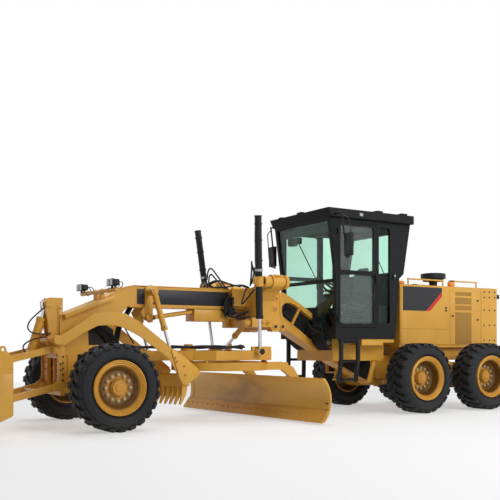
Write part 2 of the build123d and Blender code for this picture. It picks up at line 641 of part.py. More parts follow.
# Lamp bar across the gooseneck with two lamps a side
with BuildPart() as lamp_bar:
    block((-200, -140), (-700, 700), (1880, 1930))
    for side in (1, -1):
        side_slab([(-150, 1776), (-210, 1811), (-210, 1890), (-150, 1890)], (side * 60, side * 140))
        for lamp_y in (560, 680):
            block((-190, -90), (side * (lamp_y - 50), side * (lamp_y + 50)), (1935, 2035))
            bar((-160, side * lamp_y, 1930), (-160, side * lamp_y, 1940), 16)
save(lamp_bar.part, "lamp_bar")


def shift_stub(distance):
    """A point behind the centre shift cylinder's head, along its slightly tilted swing axis."""
    x, y, z = SHIFT_HEAD
    return (x - distance, y, z + SHIFT_TILT * distance)


# Blade yoke: saddle round the beam, cheeks with lobed feet, lift arms with long bosses, and a link bar below
lift_x, lift_y, lift_z = LIFT_HEAD
arm_x = (-2560, -2850)
cheek = (330, 470)
yoke_foot = 1415
with BuildPart() as blade_yoke:
    cheek_outline = [
        (-2560, 2010), (-2850, 2050), (-2960, 1990), (-3030, 1910), (-3020, 1600), (-3095, 1500),
        (-3100, 1380), (-3060, 1345), (-2990, 1375), (-2930, 1345), (-2850, 1350), (-2815, yoke_foot),
        (-2560, yoke_foot),
    ]
    for side in (1, -1):
        side_slab(cheek_outline, (side * cheek[0], side * cheek[1]))
        cross_slab(
            [
                (side * (BEAM_HALF + SEAT_GAP), 1995), (side * cheek[1], 2060), (side * (lift_y - 60), 2160),
                (side * lift_y, 2172), (side * lift_y, 2008), (side * 640, 1950), (side * 500, 1820),
                (side * cheek[1], 1620), (side * cheek[1], yoke_foot),
                (side * (BEAM_HALF + SEAT_GAP), yoke_foot),
            ],
            arm_x,
        )
        block((-2250, -2561), (side * (BEAM_HALF + SEAT_GAP), side * 250), (1740, 1985))
        block((-2480, -2561), (side * cheek[0], side * cheek[1]), (yoke_foot, 1560))
        bar((lift_x - 76, side * lift_y, lift_z), (LIFT_TRUNNION_BACK, side * lift_y, lift_z), 82)
        boss_end = (LIFT_TRUNNION_BACK, side * lift_y, lift_z)
        bar((LIFT_TRUNNION_BACK + 50, side * lift_y, lift_z), boss_end, 104)
        bar(
            (lift_x - 76, side * lift_y, lift_z), (LIFT_TRUNNION_BACK, side * lift_y, lift_z),
            LIFT_TRUNNION_RADIUS + RUN_GAP, Mode.SUBTRACT,
        )
        for hole_x in (-2905, -3040):
            bar((hole_x, side * 300, 1425), (hole_x, side * 500, 1425), 26, Mode.SUBTRACT)
    block(arm_x, (-450, 450), (yoke_foot, 1530))
    block((-2840, -2960), (-cheek[0] - 5, cheek[0] + 5), (1375, 1480))
    bar(shift_stub(60), shift_stub(180), 30 + RUN_GAP, Mode.SUBTRACT)
save(blade_yoke.part, "blade_yoke")


def along(head, eye, distance):
    """The point at a distance from a cylinder's head towards its rod's eye."""
    start = Vector(*head)
    return tuple(start + (Vector(*eye) - start).normalized() * distance)


def draw_barrel(head, eye, radius, tail, gland):
    """A barrel from its tail to its gland, with the gland's thicker collar."""
    bar(along(head, eye, -tail), along(head, eye, gland), radius)
    bar(along(head, eye, gland - 50), along(head, eye, gland), radius + 7)


def bore_barrel(head, eye, rod_radius, tail, gland):
    """The bore of a barrel, closed at its tail."""
    bar(along(head, eye, -tail + 45), along(head, eye, gland + 1), rod_radius + RUN_GAP, Mode.SUBTRACT)


def draw_rod(head, eye, radius, start, short=0):
    """A rod from inside its barrel to the rod's eye, or short of it."""
    length = (Vector(*eye) - Vector(*head)).length
    bar(along(head, eye, start), along(head, eye, length - short), radius)


def draw_ring(centre, radius, bore, half_width):
    """An eye whose pin runs across the machine."""
    x, y, z = centre
    bar((x, y - half_width, z), (x, y + half_width, z), radius)
    bar((x, y - half_width, z), (x, y + half_width, z), bore, Mode.SUBTRACT)


# Blade lift cylinders, one each side, their trunnions held in the yoke's long bosses
for side_name, side in (("left", 1), ("right", -1)):
    head = (lift_x, side * lift_y, lift_z)
    eye = (LIFT_EYE[0], side * LIFT_EYE[1], LIFT_EYE[2])
    lift_tail = (LIFT_TOP_Z - lift_z) * 1.01
    with BuildPart() as lift_barrel:
        draw_barrel(head, eye, LIFT_BARREL, lift_tail, 560)
        bar(along(head, eye, -70), along(head, eye, 70), LIFT_BARREL + 16)
        bar((lift_x - 52, side * lift_y, lift_z), (lift_x - 70, side * lift_y, lift_z), 56)
        bar(
            (lift_x - 52, side * lift_y, lift_z), (LIFT_TRUNNION_BACK - 10, side * lift_y, lift_z),
            LIFT_TRUNNION_RADIUS,
        )
        bore_barrel(head, eye, LIFT_ROD, lift_tail, 560)
    save(lift_barrel.part, f"lift_barrel_{side_name}")
    with BuildPart() as lift_rod:
        draw_rod(head, eye, LIFT_ROD, -80)
        bar((eye[0], eye[1] - side * 42, eye[2]), (eye[0], eye[1] + side * 48, eye[2]), 66)
    save(lift_rod.part, f"lift_rod_{side_name}")

# Centre shift cylinder, its head on the yoke and its rod's eye at the drawbar's bracket
with BuildPart() as shift_barrel:
    draw_barrel(SHIFT_HEAD, SHIFT_EYE, SHIFT_BARREL, 0, 400)
    bar(shift_stub(45), shift_stub(-45), 55)
    bar(shift_stub(170), shift_stub(40), 30)
    bore_barrel(SHIFT_HEAD, SHIFT_EYE, SHIFT_ROD, -30, 400)
save(shift_barrel.part, "shift_barrel")
with BuildPart() as shift_rod:
    draw_rod(SHIFT_HEAD, SHIFT_EYE, SHIFT_ROD, 220)
    eye_x, eye_y, eye_z = SHIFT_EYE
    bar((eye_x - 26, eye_y, eye_z), (eye_x + 26, eye_y, eye_z), 50)
save(shift_rod.part, "shift_rod")

# Drawbar: A-frame from the ball to the circle, with lift ears, the shift bracket and the turning gear
with BuildPart() as drawbar:
    outline = [
        (BALL_X - 30, 60), (-700, 110), (-1300, 260), (-1500, 380), (-1750, 640), (-2350, 690),
        (-2690, 690), (-2760, 560),
    ]
    flat_slab(mirror_y(outline), (DRAWBAR_BOTTOM, DRAWBAR_TOP))
    opening = [(-1720, 360), (-2330, 500), (-2462, 300)]
    flat_slab(mirror_y(opening), (DRAWBAR_BOTTOM, DRAWBAR_TOP), Mode.SUBTRACT)
    bar((BALL_X - 80, 0, BALL_Z), (BALL_X + 30, 0, BALL_Z), 85)
    with Locations(point(BALL_X, 0, BALL_Z)):
        Sphere(BALL_RADIUS + RUN_GAP, mode=Mode.SUBTRACT)
    bar((BALL_X, 0, BALL_Z), (BALL_X + 31, 0, BALL_Z), 54, Mode.SUBTRACT)
    for side in (1, -1):
        ear = [(-2690, 640), (-2690, 684), (-2350, 684), (-2350, 640)]
        flat_slab([(x, side * y) for x, y in ear], (DRAWBAR_BOTTOM, 1115))
    bar((GEAR_X, 0, DRAWBAR_TOP), (GEAR_X, 0, 1085), 120)
    bar((GEAR_X, 0, 1084), (GEAR_X, 0, 1135), 75)
    bracket_x = (eye_x - 57, eye_x - 96)
    block(bracket_x, (eye_y - 60, eye_y + 60), (DRAWBAR_BOTTOM, 1160))
save(drawbar.part, "drawbar")

# Circle pads and pinion shaft: pads and shaft under the drawbar, which rides on the gear ring by them
with BuildPart() as circle_pads:
    for pad_angle in (45, 140, 220, 315):
        pad_x = CIRCLE_X + 700 * cos(pad_angle * pi / 180)
        pad_y = 700 * sin(pad_angle * pi / 180)
        pad_top = (pad_x, pad_y, DRAWBAR_BOTTOM - SEAT_GAP)
        bar((pad_x, pad_y, CIRCLE_TOP + SEAT_GAP), pad_top, 45)
    bar((GEAR_X, 0, 770), (GEAR_X, 0, DRAWBAR_BOTTOM - SEAT_GAP), 70)
save(circle_pads.part, "circle_pads")


def turned(form):
    """A form of the blade group, drawn square to the machine and turned about the circle's centre."""
    centre = point(CIRCLE_X, 0, 0)
    return form.moved(Location(centre, (0, 0, BLADE_TURN)) * Location(-centre))


# Circle: gear ring under the drawbar with two hooked blade arms behind it
with BuildPart() as circle_form:
    with BuildSketch(Plane(origin=point(CIRCLE_X, 0, CIRCLE_BOTTOM))) as ring:
        Circle(CIRCLE_OUTER)
        Circle(CIRCLE_INNER, mode=Mode.SUBTRACT)
    extrude(ring.sketch, amount=CIRCLE_TOP - CIRCLE_BOTTOM)
    arm_outline = [
        (-2500, CIRCLE_TOP), (-2950, CIRCLE_TOP), (-3180, 790), (-3320, 600), (-3290, 400), (-3090, 268),
        (TIP_PIN_X, 268), (TIP_PIN_X, 392), (-3060, 400), (-3150, 520), (-3110, 640), (-2950, CIRCLE_BOTTOM),
        (-2500, CIRCLE_BOTTOM),
    ]
    for side in (1, -1):
        side_slab(arm_outline, (side * (ARM_Y - ARM_THICK / 2), side * (ARM_Y + ARM_THICK / 2)))
        inner, outer = side * (ARM_Y - ARM_THICK / 2), side * (ARM_Y + ARM_THICK / 2)
        bar((TIP_PIN_X, inner, TIP_PIN_Z), (TIP_PIN_X, outer, TIP_PIN_Z), 62)
        bar((TIP_PIN_X, outer, TIP_PIN_Z), (TIP_PIN_X, outer + side * 60, TIP_PIN_Z), EYE_PIN)
    block((-3100, -3040), (-ARM_Y, ARM_Y), (CIRCLE_BOTTOM + 12, CIRCLE_TOP - 12))
with BuildPart() as blade_circle:
    add(turned(circle_form.part))
save(blade_circle.part, "blade_circle")

# Moldboard centre line: an arc through its top and foot, hollow side forward
arc_half = (BLADE_TOP - BLADE_FOOT) / 2
arc_x = BLADE_X + sqrt(BLADE_RADIUS**2 - arc_half**2)
arc_z = (BLADE_TOP + BLADE_FOOT) / 2


def arc_point(z, radius=BLADE_RADIUS):
    """The (x, z) point of the moldboard's arc at a height."""
    return (arc_x - sqrt(radius**2 - (z - arc_z) ** 2), z)


# Blade carrier: plates on the tip pins with jaws round the moldboard's rails, and a tube between them
carrier_inner = ARM_Y + ARM_THICK / 2 + MOVE_GAP
carrier_outer = carrier_inner + 40
rail_back = arc_point(arc_z)[0] - BLADE_THICK - 50
with BuildPart() as carrier_form:
    for side in (1, -1):
        plate_front = arc_point(arc_z)[0] - BLADE_THICK - MOVE_GAP
        side_slab(
            [
                (plate_front, 130), (plate_front, 570), (-2900, 570), (TIP_PIN_X - 70, 400),
                (TIP_PIN_X - 70, 270), (-2900, 130),
            ],
            (side * carrier_inner, side * carrier_outer),
        )
        for rail_z in RAIL_Z:
            half_slot = RAIL_SIZE / 2 + SEAT_GAP
            block(
                (rail_back - MOVE_GAP, plate_front + 1),
                (side * (carrier_inner - 1), side * (carrier_outer + 1)),
                (rail_z - half_slot, rail_z + half_slot), Mode.SUBTRACT,
            )
        bar(
            (TIP_PIN_X, side * (carrier_inner - 1), TIP_PIN_Z),
            (TIP_PIN_X, side * (carrier_outer + 1), TIP_PIN_Z),
            EYE_PIN + RUN_GAP, Mode.SUBTRACT,
        )
    bar((-2872, -carrier_inner, 350), (-2872, carrier_inner, 350), 32)
with BuildPart() as blade_carrier:
    add(turned(carrier_form.part))
save(blade_carrier.part, "blade_carrier")

# Moldboard: rolled plate with two slide rails on its back
with BuildPart() as moldboard_form:
    middle = point(0, BLADE_OFFSET + BLADE_LENGTH / 2, 0)
    with BuildSketch(Plane(origin=middle, x_dir=(1, 0, 0), z_dir=(0, -1, 0))) as blade_section:
        with BuildLine():
            front = ThreePointArc(arc_point(BLADE_FOOT), arc_point(arc_z), arc_point(BLADE_TOP))
            back_radius = BLADE_RADIUS + BLADE_THICK
            back = ThreePointArc(
                arc_point(BLADE_FOOT, back_radius), arc_point(arc_z, back_radius),
                arc_point(BLADE_TOP, back_radius),
            )
            Line(front @ 0, back @ 0)
            Line(front @ 1, back @ 1)
        make_face()
    extrude(blade_section.sketch, amount=BLADE_LENGTH)
    for rail_z in RAIL_Z:
        block(
            (rail_back, arc_point(rail_z, BLADE_RADIUS + 10)[0]), (BLADE_OFFSET - 1500, BLADE_OFFSET + 1500),
            (rail_z - RAIL_SIZE / 2, rail_z + RAIL_SIZE / 2),
        )
with BuildPart() as moldboard:
    add(turned(moldboard_form.part))
save(moldboard.part, "moldboard")

# Cutting edge: a flat plate bolted over the moldboard's foot
with BuildPart() as edge_form:
    foot, head_point = Vector(*arc_point(BLADE_FOOT)), Vector(*arc_point(BLADE_FOOT + EDGE_HEIGHT))
    up = (head_point - foot).normalized()
    out = Vector(up.Y, -up.X)
    back_low = foot - up * 10 + out * SEAT_GAP
    back_high = head_point + out * SEAT_GAP
    corners = [back_low, back_low + out * 19, back_high + out * 19, back_high]
    edge_ends = (BLADE_OFFSET - BLADE_LENGTH / 2, BLADE_OFFSET + BLADE_LENGTH / 2)
    side_slab([(corner.X, corner.Y) for corner in corners], edge_ends)
with BuildPart() as cutting_edge:
    add(turned(edge_form.part))
save(cutting_edge.part, "cutting_edge")

# Front lift bracket: windowed plate on the nose, link ears, scarifier shaft and mast
pivot_x, pivot_z = SCARIFIER_PIVOT
plate_x = (NOSE_X + 10, NOSE_X + 65)
link_ears = (LINK_Y - LINK_THICK / 2 - MOVE_GAP - 20, LINK_Y + LINK_THICK / 2 + MOVE_GAP)
with BuildPart() as lift_bracket:
    block(plate_x, (-380, 380), (450, 1150))
    block((plate_x[0] - 1, plate_x[1] + 1), (-220, 220), (580, 960), Mode.SUBTRACT)
    for side in (1, -1):
        side_slab(
            [
                (BOLSTER_OUTER + SEAT_GAP, 650), (plate_x[0], 480), (plate_x[0], 1150),
                (NOSE_X + SEAT_GAP, 1150),
                (NOSE_X + SEAT_GAP, 1000 - SEAT_GAP), (BOLSTER_OUTER + SEAT_GAP, 1000 - SEAT_GAP),
            ],
            (side * 60, side * 140),
        )
        side_slab(
            [(plate_x[0], 1100), (plate_x[1], 1100), (650, 1150), (650, 1260), (plate_x[0], 1260)],
            (side * 180, side * 230),
        )
        side_slab(
            [
                (NOSE_X + SEAT_GAP, 1100), (560, 1100), (640, 1640), (650, 1740), (590, 1795), (400, 1795),
                (400, 1560), (NOSE_X + SEAT_GAP, 1540),
            ],
            (side * 80, side * 120),
        )
        for pin_x, pin_z in (LINK_UPPER, LINK_LOWER):
            for ear_y in link_ears:
                ear = (side * ear_y, side * (ear_y + 20))
                block((plate_x[1] - 5, pin_x + 40), ear, (pin_z - 50, pin_z + 50))
            bar((pin_x, side * link_ears[0], pin_z), (pin_x, side * (link_ears[1] + 20), pin_z), EYE_PIN)
    bar((pivot_x, -530, pivot_z), (pivot_x, 530, pivot_z), 40)
    bar((PUSH_HEAD[0], -125, PUSH_HEAD[2]), (PUSH_HEAD[0], 125, PUSH_HEAD[2]), EYE_PIN)
save(lift_bracket.part, "lift_bracket")


def link_outline(start, half_width):
    """A straight link from one pin to the other, as (x, z) corners."""
    first = Vector(*start)
    run = Vector(*LINK_RUN)
    across = Vector(-run.Y, run.X).normalized() * half_width
    corners = (first + across, first + run + across, first + run - across, first - across)
    return [(corner.X, corner.Y) for corner in corners]


# Parallel links of the front lift group, upper and lower
push_share = (PUSH_EYE_X - LINK_UPPER[0]) / LINK_RUN[0]
PUSH_EYE = (PUSH_EYE_X, 0, LINK_UPPER[1] + push_share * LINK_RUN[1])
for link_name, link_start in (("upper", LINK_UPPER), ("lower", LINK_LOWER)):
    with BuildPart() as links:
        for side in (1, -1):
            faces = (side * (LINK_Y - LINK_THICK / 2), side * (LINK_Y + LINK_THICK / 2))
            side_slab(link_outline(link_start, 45), faces)
            ends = [link_start, (link_start[0] + LINK_RUN[0], link_start[1] + LINK_RUN[1])]
            for end_x, end_z in ends:
                bar((end_x, faces[0], end_z), (end_x, faces[1], end_z), 48)
            for end_x, end_z in ends:
                bar(
                    (end_x, faces[0] - side, end_z), (end_x, faces[1] + side, end_z),
                    EYE_PIN + RUN_GAP, Mode.SUBTRACT,
                )
        tie_x = link_start[0] + push_share * LINK_RUN[0]
        tie_z = link_start[1] + push_share * LINK_RUN[1]
        bar((tie_x, -LINK_Y, tie_z), (tie_x, LINK_Y, tie_z), 30)
    save(links.part, f"push_links_{link_name}")

# Push cylinder: its barrel on the upper links' tie bar, its rod's eye at the mast
with BuildPart() as push_barrel:
    draw_barrel(PUSH_EYE, PUSH_HEAD, PUSH_BARREL, -36, 505)
    bar((PUSH_EYE[0], -70, PUSH_EYE[2]), (PUSH_EYE[0], 70, PUSH_EYE[2]), 56)
    bar((PUSH_EYE[0], -71, PUSH_EYE[2]), (PUSH_EYE[0], 71, PUSH_EYE[2]), 30 + RUN_GAP, Mode.SUBTRACT)
    bore_barrel(PUSH_EYE, PUSH_HEAD, PUSH_ROD, -60, 505)
save(push_barrel.part, "push_barrel")
with BuildPart() as push_rod:
    draw_rod(PUSH_EYE, PUSH_HEAD, PUSH_ROD, 235, 50)
    draw_ring(PUSH_HEAD, EYE_PIN + EYE_PLAY + EYE_WALL, EYE_PIN + EYE_PLAY, 40)
save(push_rod.part, "push_rod")

# Push plate: rolled front plate between two end plates with lifting lugs, and ears for the four links
with BuildPart() as push_plate:
    plate_side = point(0, PUSH_PLATE_HALF, 0)
    middle_z = (PUSH_PLATE_FOOT + PUSH_PLATE_TOP) / 2
    with BuildSketch(Plane(origin=plate_side, x_dir=(1, 0, 0), z_dir=(0, -1, 0))) as plate_section:
        with BuildLine():
            face = ThreePointArc(
                (PUSH_PLATE_FRONT - 40, PUSH_PLATE_FOOT), (PUSH_PLATE_FRONT - 150, middle_z),
                (PUSH_PLATE_FRONT - 40, PUSH_PLATE_TOP),
            )
            rear = ThreePointArc(
                (PUSH_PLATE_FRONT - 75, PUSH_PLATE_FOOT), (PUSH_PLATE_FRONT - 185, middle_z),
                (PUSH_PLATE_FRONT - 75, PUSH_PLATE_TOP),
            )
            Line(face @ 0, rear @ 0)
            Line(face @ 1, rear @ 1)
        make_face()
    extrude(plate_section.sketch, amount=2 * PUSH_PLATE_HALF)
    for side in (1, -1):
        side_slab(
            [
                (1396, 984), (1473, 1070), (1490, 1125), (1518, 1136), (1546, 1125), (1565, 1100),
                (PUSH_PLATE_FRONT, 1100), (PUSH_PLATE_FRONT, 186), (1553, 223), (1415, 281), (1396, 305),
            ],
            (side * (PUSH_PLATE_HALF - 25), side * (PUSH_PLATE_HALF + 5)),
        )
        bar(
            (1518, side * (PUSH_PLATE_HALF - 26), 1088), (1518, side * (PUSH_PLATE_HALF + 6), 1088), 20,
            Mode.SUBTRACT,
        )
        for ear_y in link_ears:
            side_slab(
                [
                    (1180, 1000), (1180, 880), (1300, 800), (1300, 560), (1180, 470), (1180, 350),
                    (1400, 300), (1478, 420), (1478, 900), (1400, 1000),
                ],
                (side * ear_y, side * (ear_y + 20)),
            )
        for pin_x, pin_z in (LINK_UPPER, LINK_LOWER):
            far_x, far_z = pin_x + LINK_RUN[0], pin_z + LINK_RUN[1]
            bar((far_x, side * link_ears[0], far_z), (far_x, side * (link_ears[1] + 20), far_z), EYE_PIN)
save(push_plate.part, "push_plate")

# Scarifier: arched arms from the front pivot, a swept tooth bar and its teeth
arm_top = [
    (600, 1275), (540, 1270), (309, 1417), (65, 1577), (-149, 1607), (-383, 1577), (-595, 1465), (-953, 1197),
    (-1160, 1037), (-1225, 1022), (-1535, 778),
]
arm_under = [(-1274, 562), (-1067, 928), (-855, 1083), (-595, 1265), (-337, 1389), (-149, 1423), (38, 1403),
             (220, 1313), (487, 1141), (600, 1135)]
with BuildPart() as scarifier:
    for side in (1, -1):
        faces = (side * (SCARIFIER_Y - SCARIFIER_PLATE / 2), side * (SCARIFIER_Y + SCARIFIER_PLATE / 2))
        side_slab(arm_top + arm_under, faces)
        bar((pivot_x, faces[0], pivot_z), (pivot_x, faces[1], pivot_z), 70)
        pivot_ends = [(pivot_x, faces[0] - side, pivot_z), (pivot_x, faces[1] + side, pivot_z)]
        bar(*pivot_ends, 40 + RUN_GAP, Mode.SUBTRACT)
        bar((RIPPER_EYE[0], faces[0], RIPPER_EYE[2]), (RIPPER_EYE[0], faces[1], RIPPER_EYE[2]), 60)
        bar((RIPPER_EYE[0], side * 360, RIPPER_EYE[2]), (RIPPER_EYE[0], faces[1], RIPPER_EYE[2]), 22)
    flat_slab(
        mirror_y([(-1075, 0), (-1275, SCARIFIER_Y), (-1385, SCARIFIER_Y), (-1185, 0)]), (530, 700),
    )
    for number in range(TOOTH_COUNT):
        tooth_y = -450 + 900 * number / (TOOTH_COUNT - 1)
        x = -1130 - 200 * abs(tooth_y) / SCARIFIER_Y
        side_slab(
            [
                (x + 45, 720), (x - 45, 720), (x - 45, 480), (x - 15, 380), (x + 60, 262), (x + 80, 270),
                (x + 45, 400), (x + 35, 480),
            ],
            (tooth_y - 15, tooth_y + 15),
        )
save(scarifier.part, "scarifier")

# Scarifier cylinders: the pair swings on one cross shaft
with BuildPart() as scarifier_barrels:
    for side in (1, -1):
        head = (RIPPER_HEAD[0], side * RIPPER_HEAD[1], RIPPER_HEAD[2])
        eye = (RIPPER_EYE[0], side * RIPPER_EYE[1], RIPPER_EYE[2])
        draw_barrel(head, eye, RIPPER_BARREL, -40, 574)
        bar((head[0], head[1] - 35, head[2]), (head[0], head[1] + 35, head[2]), 50)
        bore_barrel(head, eye, RIPPER_ROD, -55, 574)
    shaft_ends = [(RIPPER_HEAD[0], -600, RIPPER_HEAD[2]), (RIPPER_HEAD[0], 600, RIPPER_HEAD[2])]
    bar(*shaft_ends, 30 + RUN_GAP, Mode.SUBTRACT)
save(scarifier_barrels.part, "scarifier_barrels")
with BuildPart() as scarifier_rods:
    for side in (1, -1):
        head = (RIPPER_HEAD[0], side * RIPPER_HEAD[1], RIPPER_HEAD[2])
        eye = (RIPPER_EYE[0], side * RIPPER_EYE[1], RIPPER_EYE[2])
        draw_rod(head, eye, RIPPER_ROD, 168, 35)
        draw_ring(eye, 50, 30, 26)
save(scarifier_rods.part, "scarifier_rods")
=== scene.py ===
# %% [markdown]
# # Dressing a motor grader
# The solids of this machine come ready made from the CAD model: frames, wheels, cab, blade and cylinders.
# This lesson gives them paint, rubber, glass and chrome, and adds the small pieces that a solid model
# leaves out: hoses, lamps, bolts, seals, door panels and a padded seat. Everything is in metres, +X is
# forward, +Y is the machine's left side and the wheels stand on z = 0.

from math import atan2, cos, pi, radians, sin, sqrt

import bpy
from mathutils import Matrix, Vector


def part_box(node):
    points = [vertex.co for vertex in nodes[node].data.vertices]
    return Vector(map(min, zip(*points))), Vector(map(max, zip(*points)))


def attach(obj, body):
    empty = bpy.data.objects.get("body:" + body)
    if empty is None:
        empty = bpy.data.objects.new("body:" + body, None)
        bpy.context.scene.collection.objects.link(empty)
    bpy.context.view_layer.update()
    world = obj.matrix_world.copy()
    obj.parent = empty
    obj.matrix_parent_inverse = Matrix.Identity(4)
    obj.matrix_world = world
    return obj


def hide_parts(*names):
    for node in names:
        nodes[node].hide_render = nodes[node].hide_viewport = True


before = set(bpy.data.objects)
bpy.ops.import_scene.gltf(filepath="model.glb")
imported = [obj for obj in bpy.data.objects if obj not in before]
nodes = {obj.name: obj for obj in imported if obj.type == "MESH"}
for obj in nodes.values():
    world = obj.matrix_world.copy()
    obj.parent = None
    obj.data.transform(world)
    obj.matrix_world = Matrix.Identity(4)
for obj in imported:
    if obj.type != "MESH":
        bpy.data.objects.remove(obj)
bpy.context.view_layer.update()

# %% [markdown]
# The drawings of the machine measure along it from the front axle, so one short function turns such a
# place into the frame's own coordinates. The camera stands where the photographer stood: low, at the
# height of a tyre, far off to the machine's front left, with the horizon below the middle of the picture.

# %% Places and the camera
FRONT_AXLE_X = 3.260
CAMERA_PLACE = (3.956, 10.906, 1.165)
CAMERA_TURN = 31.5
FOCAL_PIXELS = 795
HORIZON_ROW = 343.2
IMAGE_SIZE = 500


def at(x, y, z):
    """A point measured from the front axle, in the frame."""
    return Vector((x + FRONT_AXLE_X, y, z))


camera_data = bpy.data.cameras.new("camera")
camera = bpy.data.objects.new("camera", camera_data)
bpy.context.scene.collection.objects.link(camera)
camera.location = at(*CAMERA_PLACE)
camera.rotation_euler = (radians(90), 0, radians(180 - CAMERA_TURN))
camera_data.sensor_width = 36
camera_data.lens = 36 * FOCAL_PIXELS / IMAGE_SIZE
camera_data.shift_y = (HORIZON_ROW - IMAGE_SIZE / 2) / IMAGE_SIZE
camera_data.clip_end = 200
bpy.context.scene.camera = camera
print("camera lens", round(camera_data.lens, 1), "mm")

# %% [markdown]
# The machine stands in a white studio. The floor is pale and catches the shadow, and whatever looks past
# the machine, the camera, a reflection or a view through glass, sees white. Large soft lamps overhead and
# at the front left give broad highlights on the paint, as softboxes do.

# %% Studio
BACKGROUND = (1.0, 1.0, 1.0, 1.0)
AMBIENT = (0.90, 0.93, 0.97, 1.0)
AMBIENT_STRENGTH = 0.24


def link_node(tree, kind, settings=None, inputs=None):
    """Adds a shader node with its settings, fixed values and links. A colour ramp's stops are a setting."""
    node = tree.nodes.new(kind)
    for name, value in (settings or {}).items():
        if name == "stops":
            band = node.color_ramp
            while len(band.elements) < len(value):
                band.elements.new(1.0)
            for element, (position, colour) in zip(band.elements, value):
                element.position = position
                element.color = colour
        else:
            setattr(node, name, value)
    for socket, value in (inputs or {}).items():
        if isinstance(value, bpy.types.NodeSocket):
            tree.links.new(value, node.inputs[socket])
        else:
            node.inputs[socket].default_value = value
    return node


def seen_white(tree):
    """A mask that is 1 for camera, glossy and transmission rays."""
    path = link_node(tree, "ShaderNodeLightPath")
    first = link_node(
        tree, "ShaderNodeMath", {"operation": "MAXIMUM"},
        {0: path.outputs["Is Camera Ray"], 1: path.outputs["Is Glossy Ray"]},
    )
    return link_node(
        tree, "ShaderNodeMath", {"operation": "MAXIMUM"},
        {0: first.outputs[0], 1: path.outputs["Is Transmission Ray"]},
    ).outputs[0]


world = bpy.data.worlds.new("studio")
bpy.context.scene.world = world
world.use_nodes = True
tree = world.node_tree
tree.nodes.clear()
soft = link_node(tree, "ShaderNodeBackground", inputs={"Color": AMBIENT, "Strength": AMBIENT_STRENGTH})
white = link_node(tree, "ShaderNodeBackground", inputs={"Color": BACKGROUND, "Strength": 1.0})
mix = link_node(
    tree, "ShaderNodeMixShader", inputs={0: seen_white(tree), 1: soft.outputs[0], 2: white.outputs[0]},
)
link_node(tree, "ShaderNodeOutputWorld", inputs={"Surface": mix.outputs[0]})

LAMPS = [
    # name, place from the front axle, size in metres, watts
    ("key", (-5.0, 12.0, 7.0), 6.0, 830),
    ("top", (-3.0, -1.0, 10.0), 9.0, 620),
    ("rear_fill", (-13.0, 5.0, 5.0), 6.0, 150),
]
for name, place, size, watts in LAMPS:
    light = bpy.data.lights.new(name, "AREA")
    light.size = size
    light.energy = watts
    holder = bpy.data.objects.new(name, light)
    bpy.context.scene.collection.objects.link(holder)
    holder.location = at(*place)
    aim = at(-3, 0, 1) - holder.location
    holder.rotation_euler = aim.to_track_quat("-Z", "Y").to_euler()
bpy.context.scene.view_settings.view_transform = "Standard"
print(len(LAMPS), "lamps")


# %% [markdown]
# Colours are written as the hex values that a colour picker shows, and one function turns them to the
# linear values that Blender's shaders expect. Every finish breaks its flat colour up with a darker and a
# lighter tone, in grains whose size is a real one in metres.

# %% Colours and empty materials
def linear(hex_colour):
    """An sRGB hex colour as linear red, green, blue and alpha."""
    values = [int(hex_colour[start:start + 2], 16) / 255 for start in (1, 3, 5)]
    return [v / 12.92 if v <= 0.04045 else ((v + 0.055) / 1.055) ** 2.4 for v in values] + [1.0]


def new_material(name):
    """An empty node material, its tree, and its Object coordinates."""
    material = bpy.data.materials.new(name)
    material.use_nodes = True
    tree = material.node_tree
    tree.nodes.clear()
    return material, tree, link_node(tree, "ShaderNodeTexCoord").outputs["Object"]


def finish_material(tree, shader):
    """Links a shader to the material's output."""
    link_node(tree, "ShaderNodeOutputMaterial", inputs={"Surface": shader.outputs[0]})


print("white is", linear("#FFFFFF"))

# %% [markdown]
# Construction paint is a thick, sprayed polyurethane enamel. It is glossy when new, has a faint orange
# peel from the spray, and its colour is deeper where it pools and dustier low down. The edges of real
# plate are ground round, so the shader rounds them a few millimetres. On a blade, soil leaves a long dark
# stain about the middle, where it rolls.

# %% Painted finishes
CLOUD_SIZE = 0.9
DUST_GRAIN = 0.02
PEEL_GRAIN = 0.004
SMEAR_MIDDLE = (-2.600, -0.260, 0.530)
SMEAR_SIZE = 0.55


def soil_stain(tree, place):
    """How stained a blade is: blotches that fade away from the place where the soil rolls."""
    stretched = link_node(
        tree, "ShaderNodeMapping", inputs={"Vector": place, "Scale": (1.0, 0.55, 1.3)},
    ).outputs[0]
    blotch = link_node(
        tree, "ShaderNodeTexNoise", inputs={"Vector": stretched, "Scale": 1 / SMEAR_SIZE, "Detail": 5.0},
    ).outputs["Fac"]
    stain = link_node(
        tree, "ShaderNodeMapRange",
        inputs={"Value": blotch, "From Min": 0.42, "From Max": 0.66, "To Max": 0.85},
    ).outputs[0]
    away = link_node(
        tree, "ShaderNodeVectorMath", {"operation": "DISTANCE"}, {0: place, 1: tuple(at(*SMEAR_MIDDLE))},
    ).outputs["Value"]
    worked = link_node(
        tree, "ShaderNodeMapRange", {"interpolation_type": "SMOOTHSTEP"},
        {"Value": away, "From Min": 0.35, "From Max": 1.15, "To Min": 1.0, "To Max": 0.08},
    ).outputs[0]
    return link_node(tree, "ShaderNodeMath", {"operation": "MULTIPLY"}, {0: stain, 1: worked}).outputs[0]


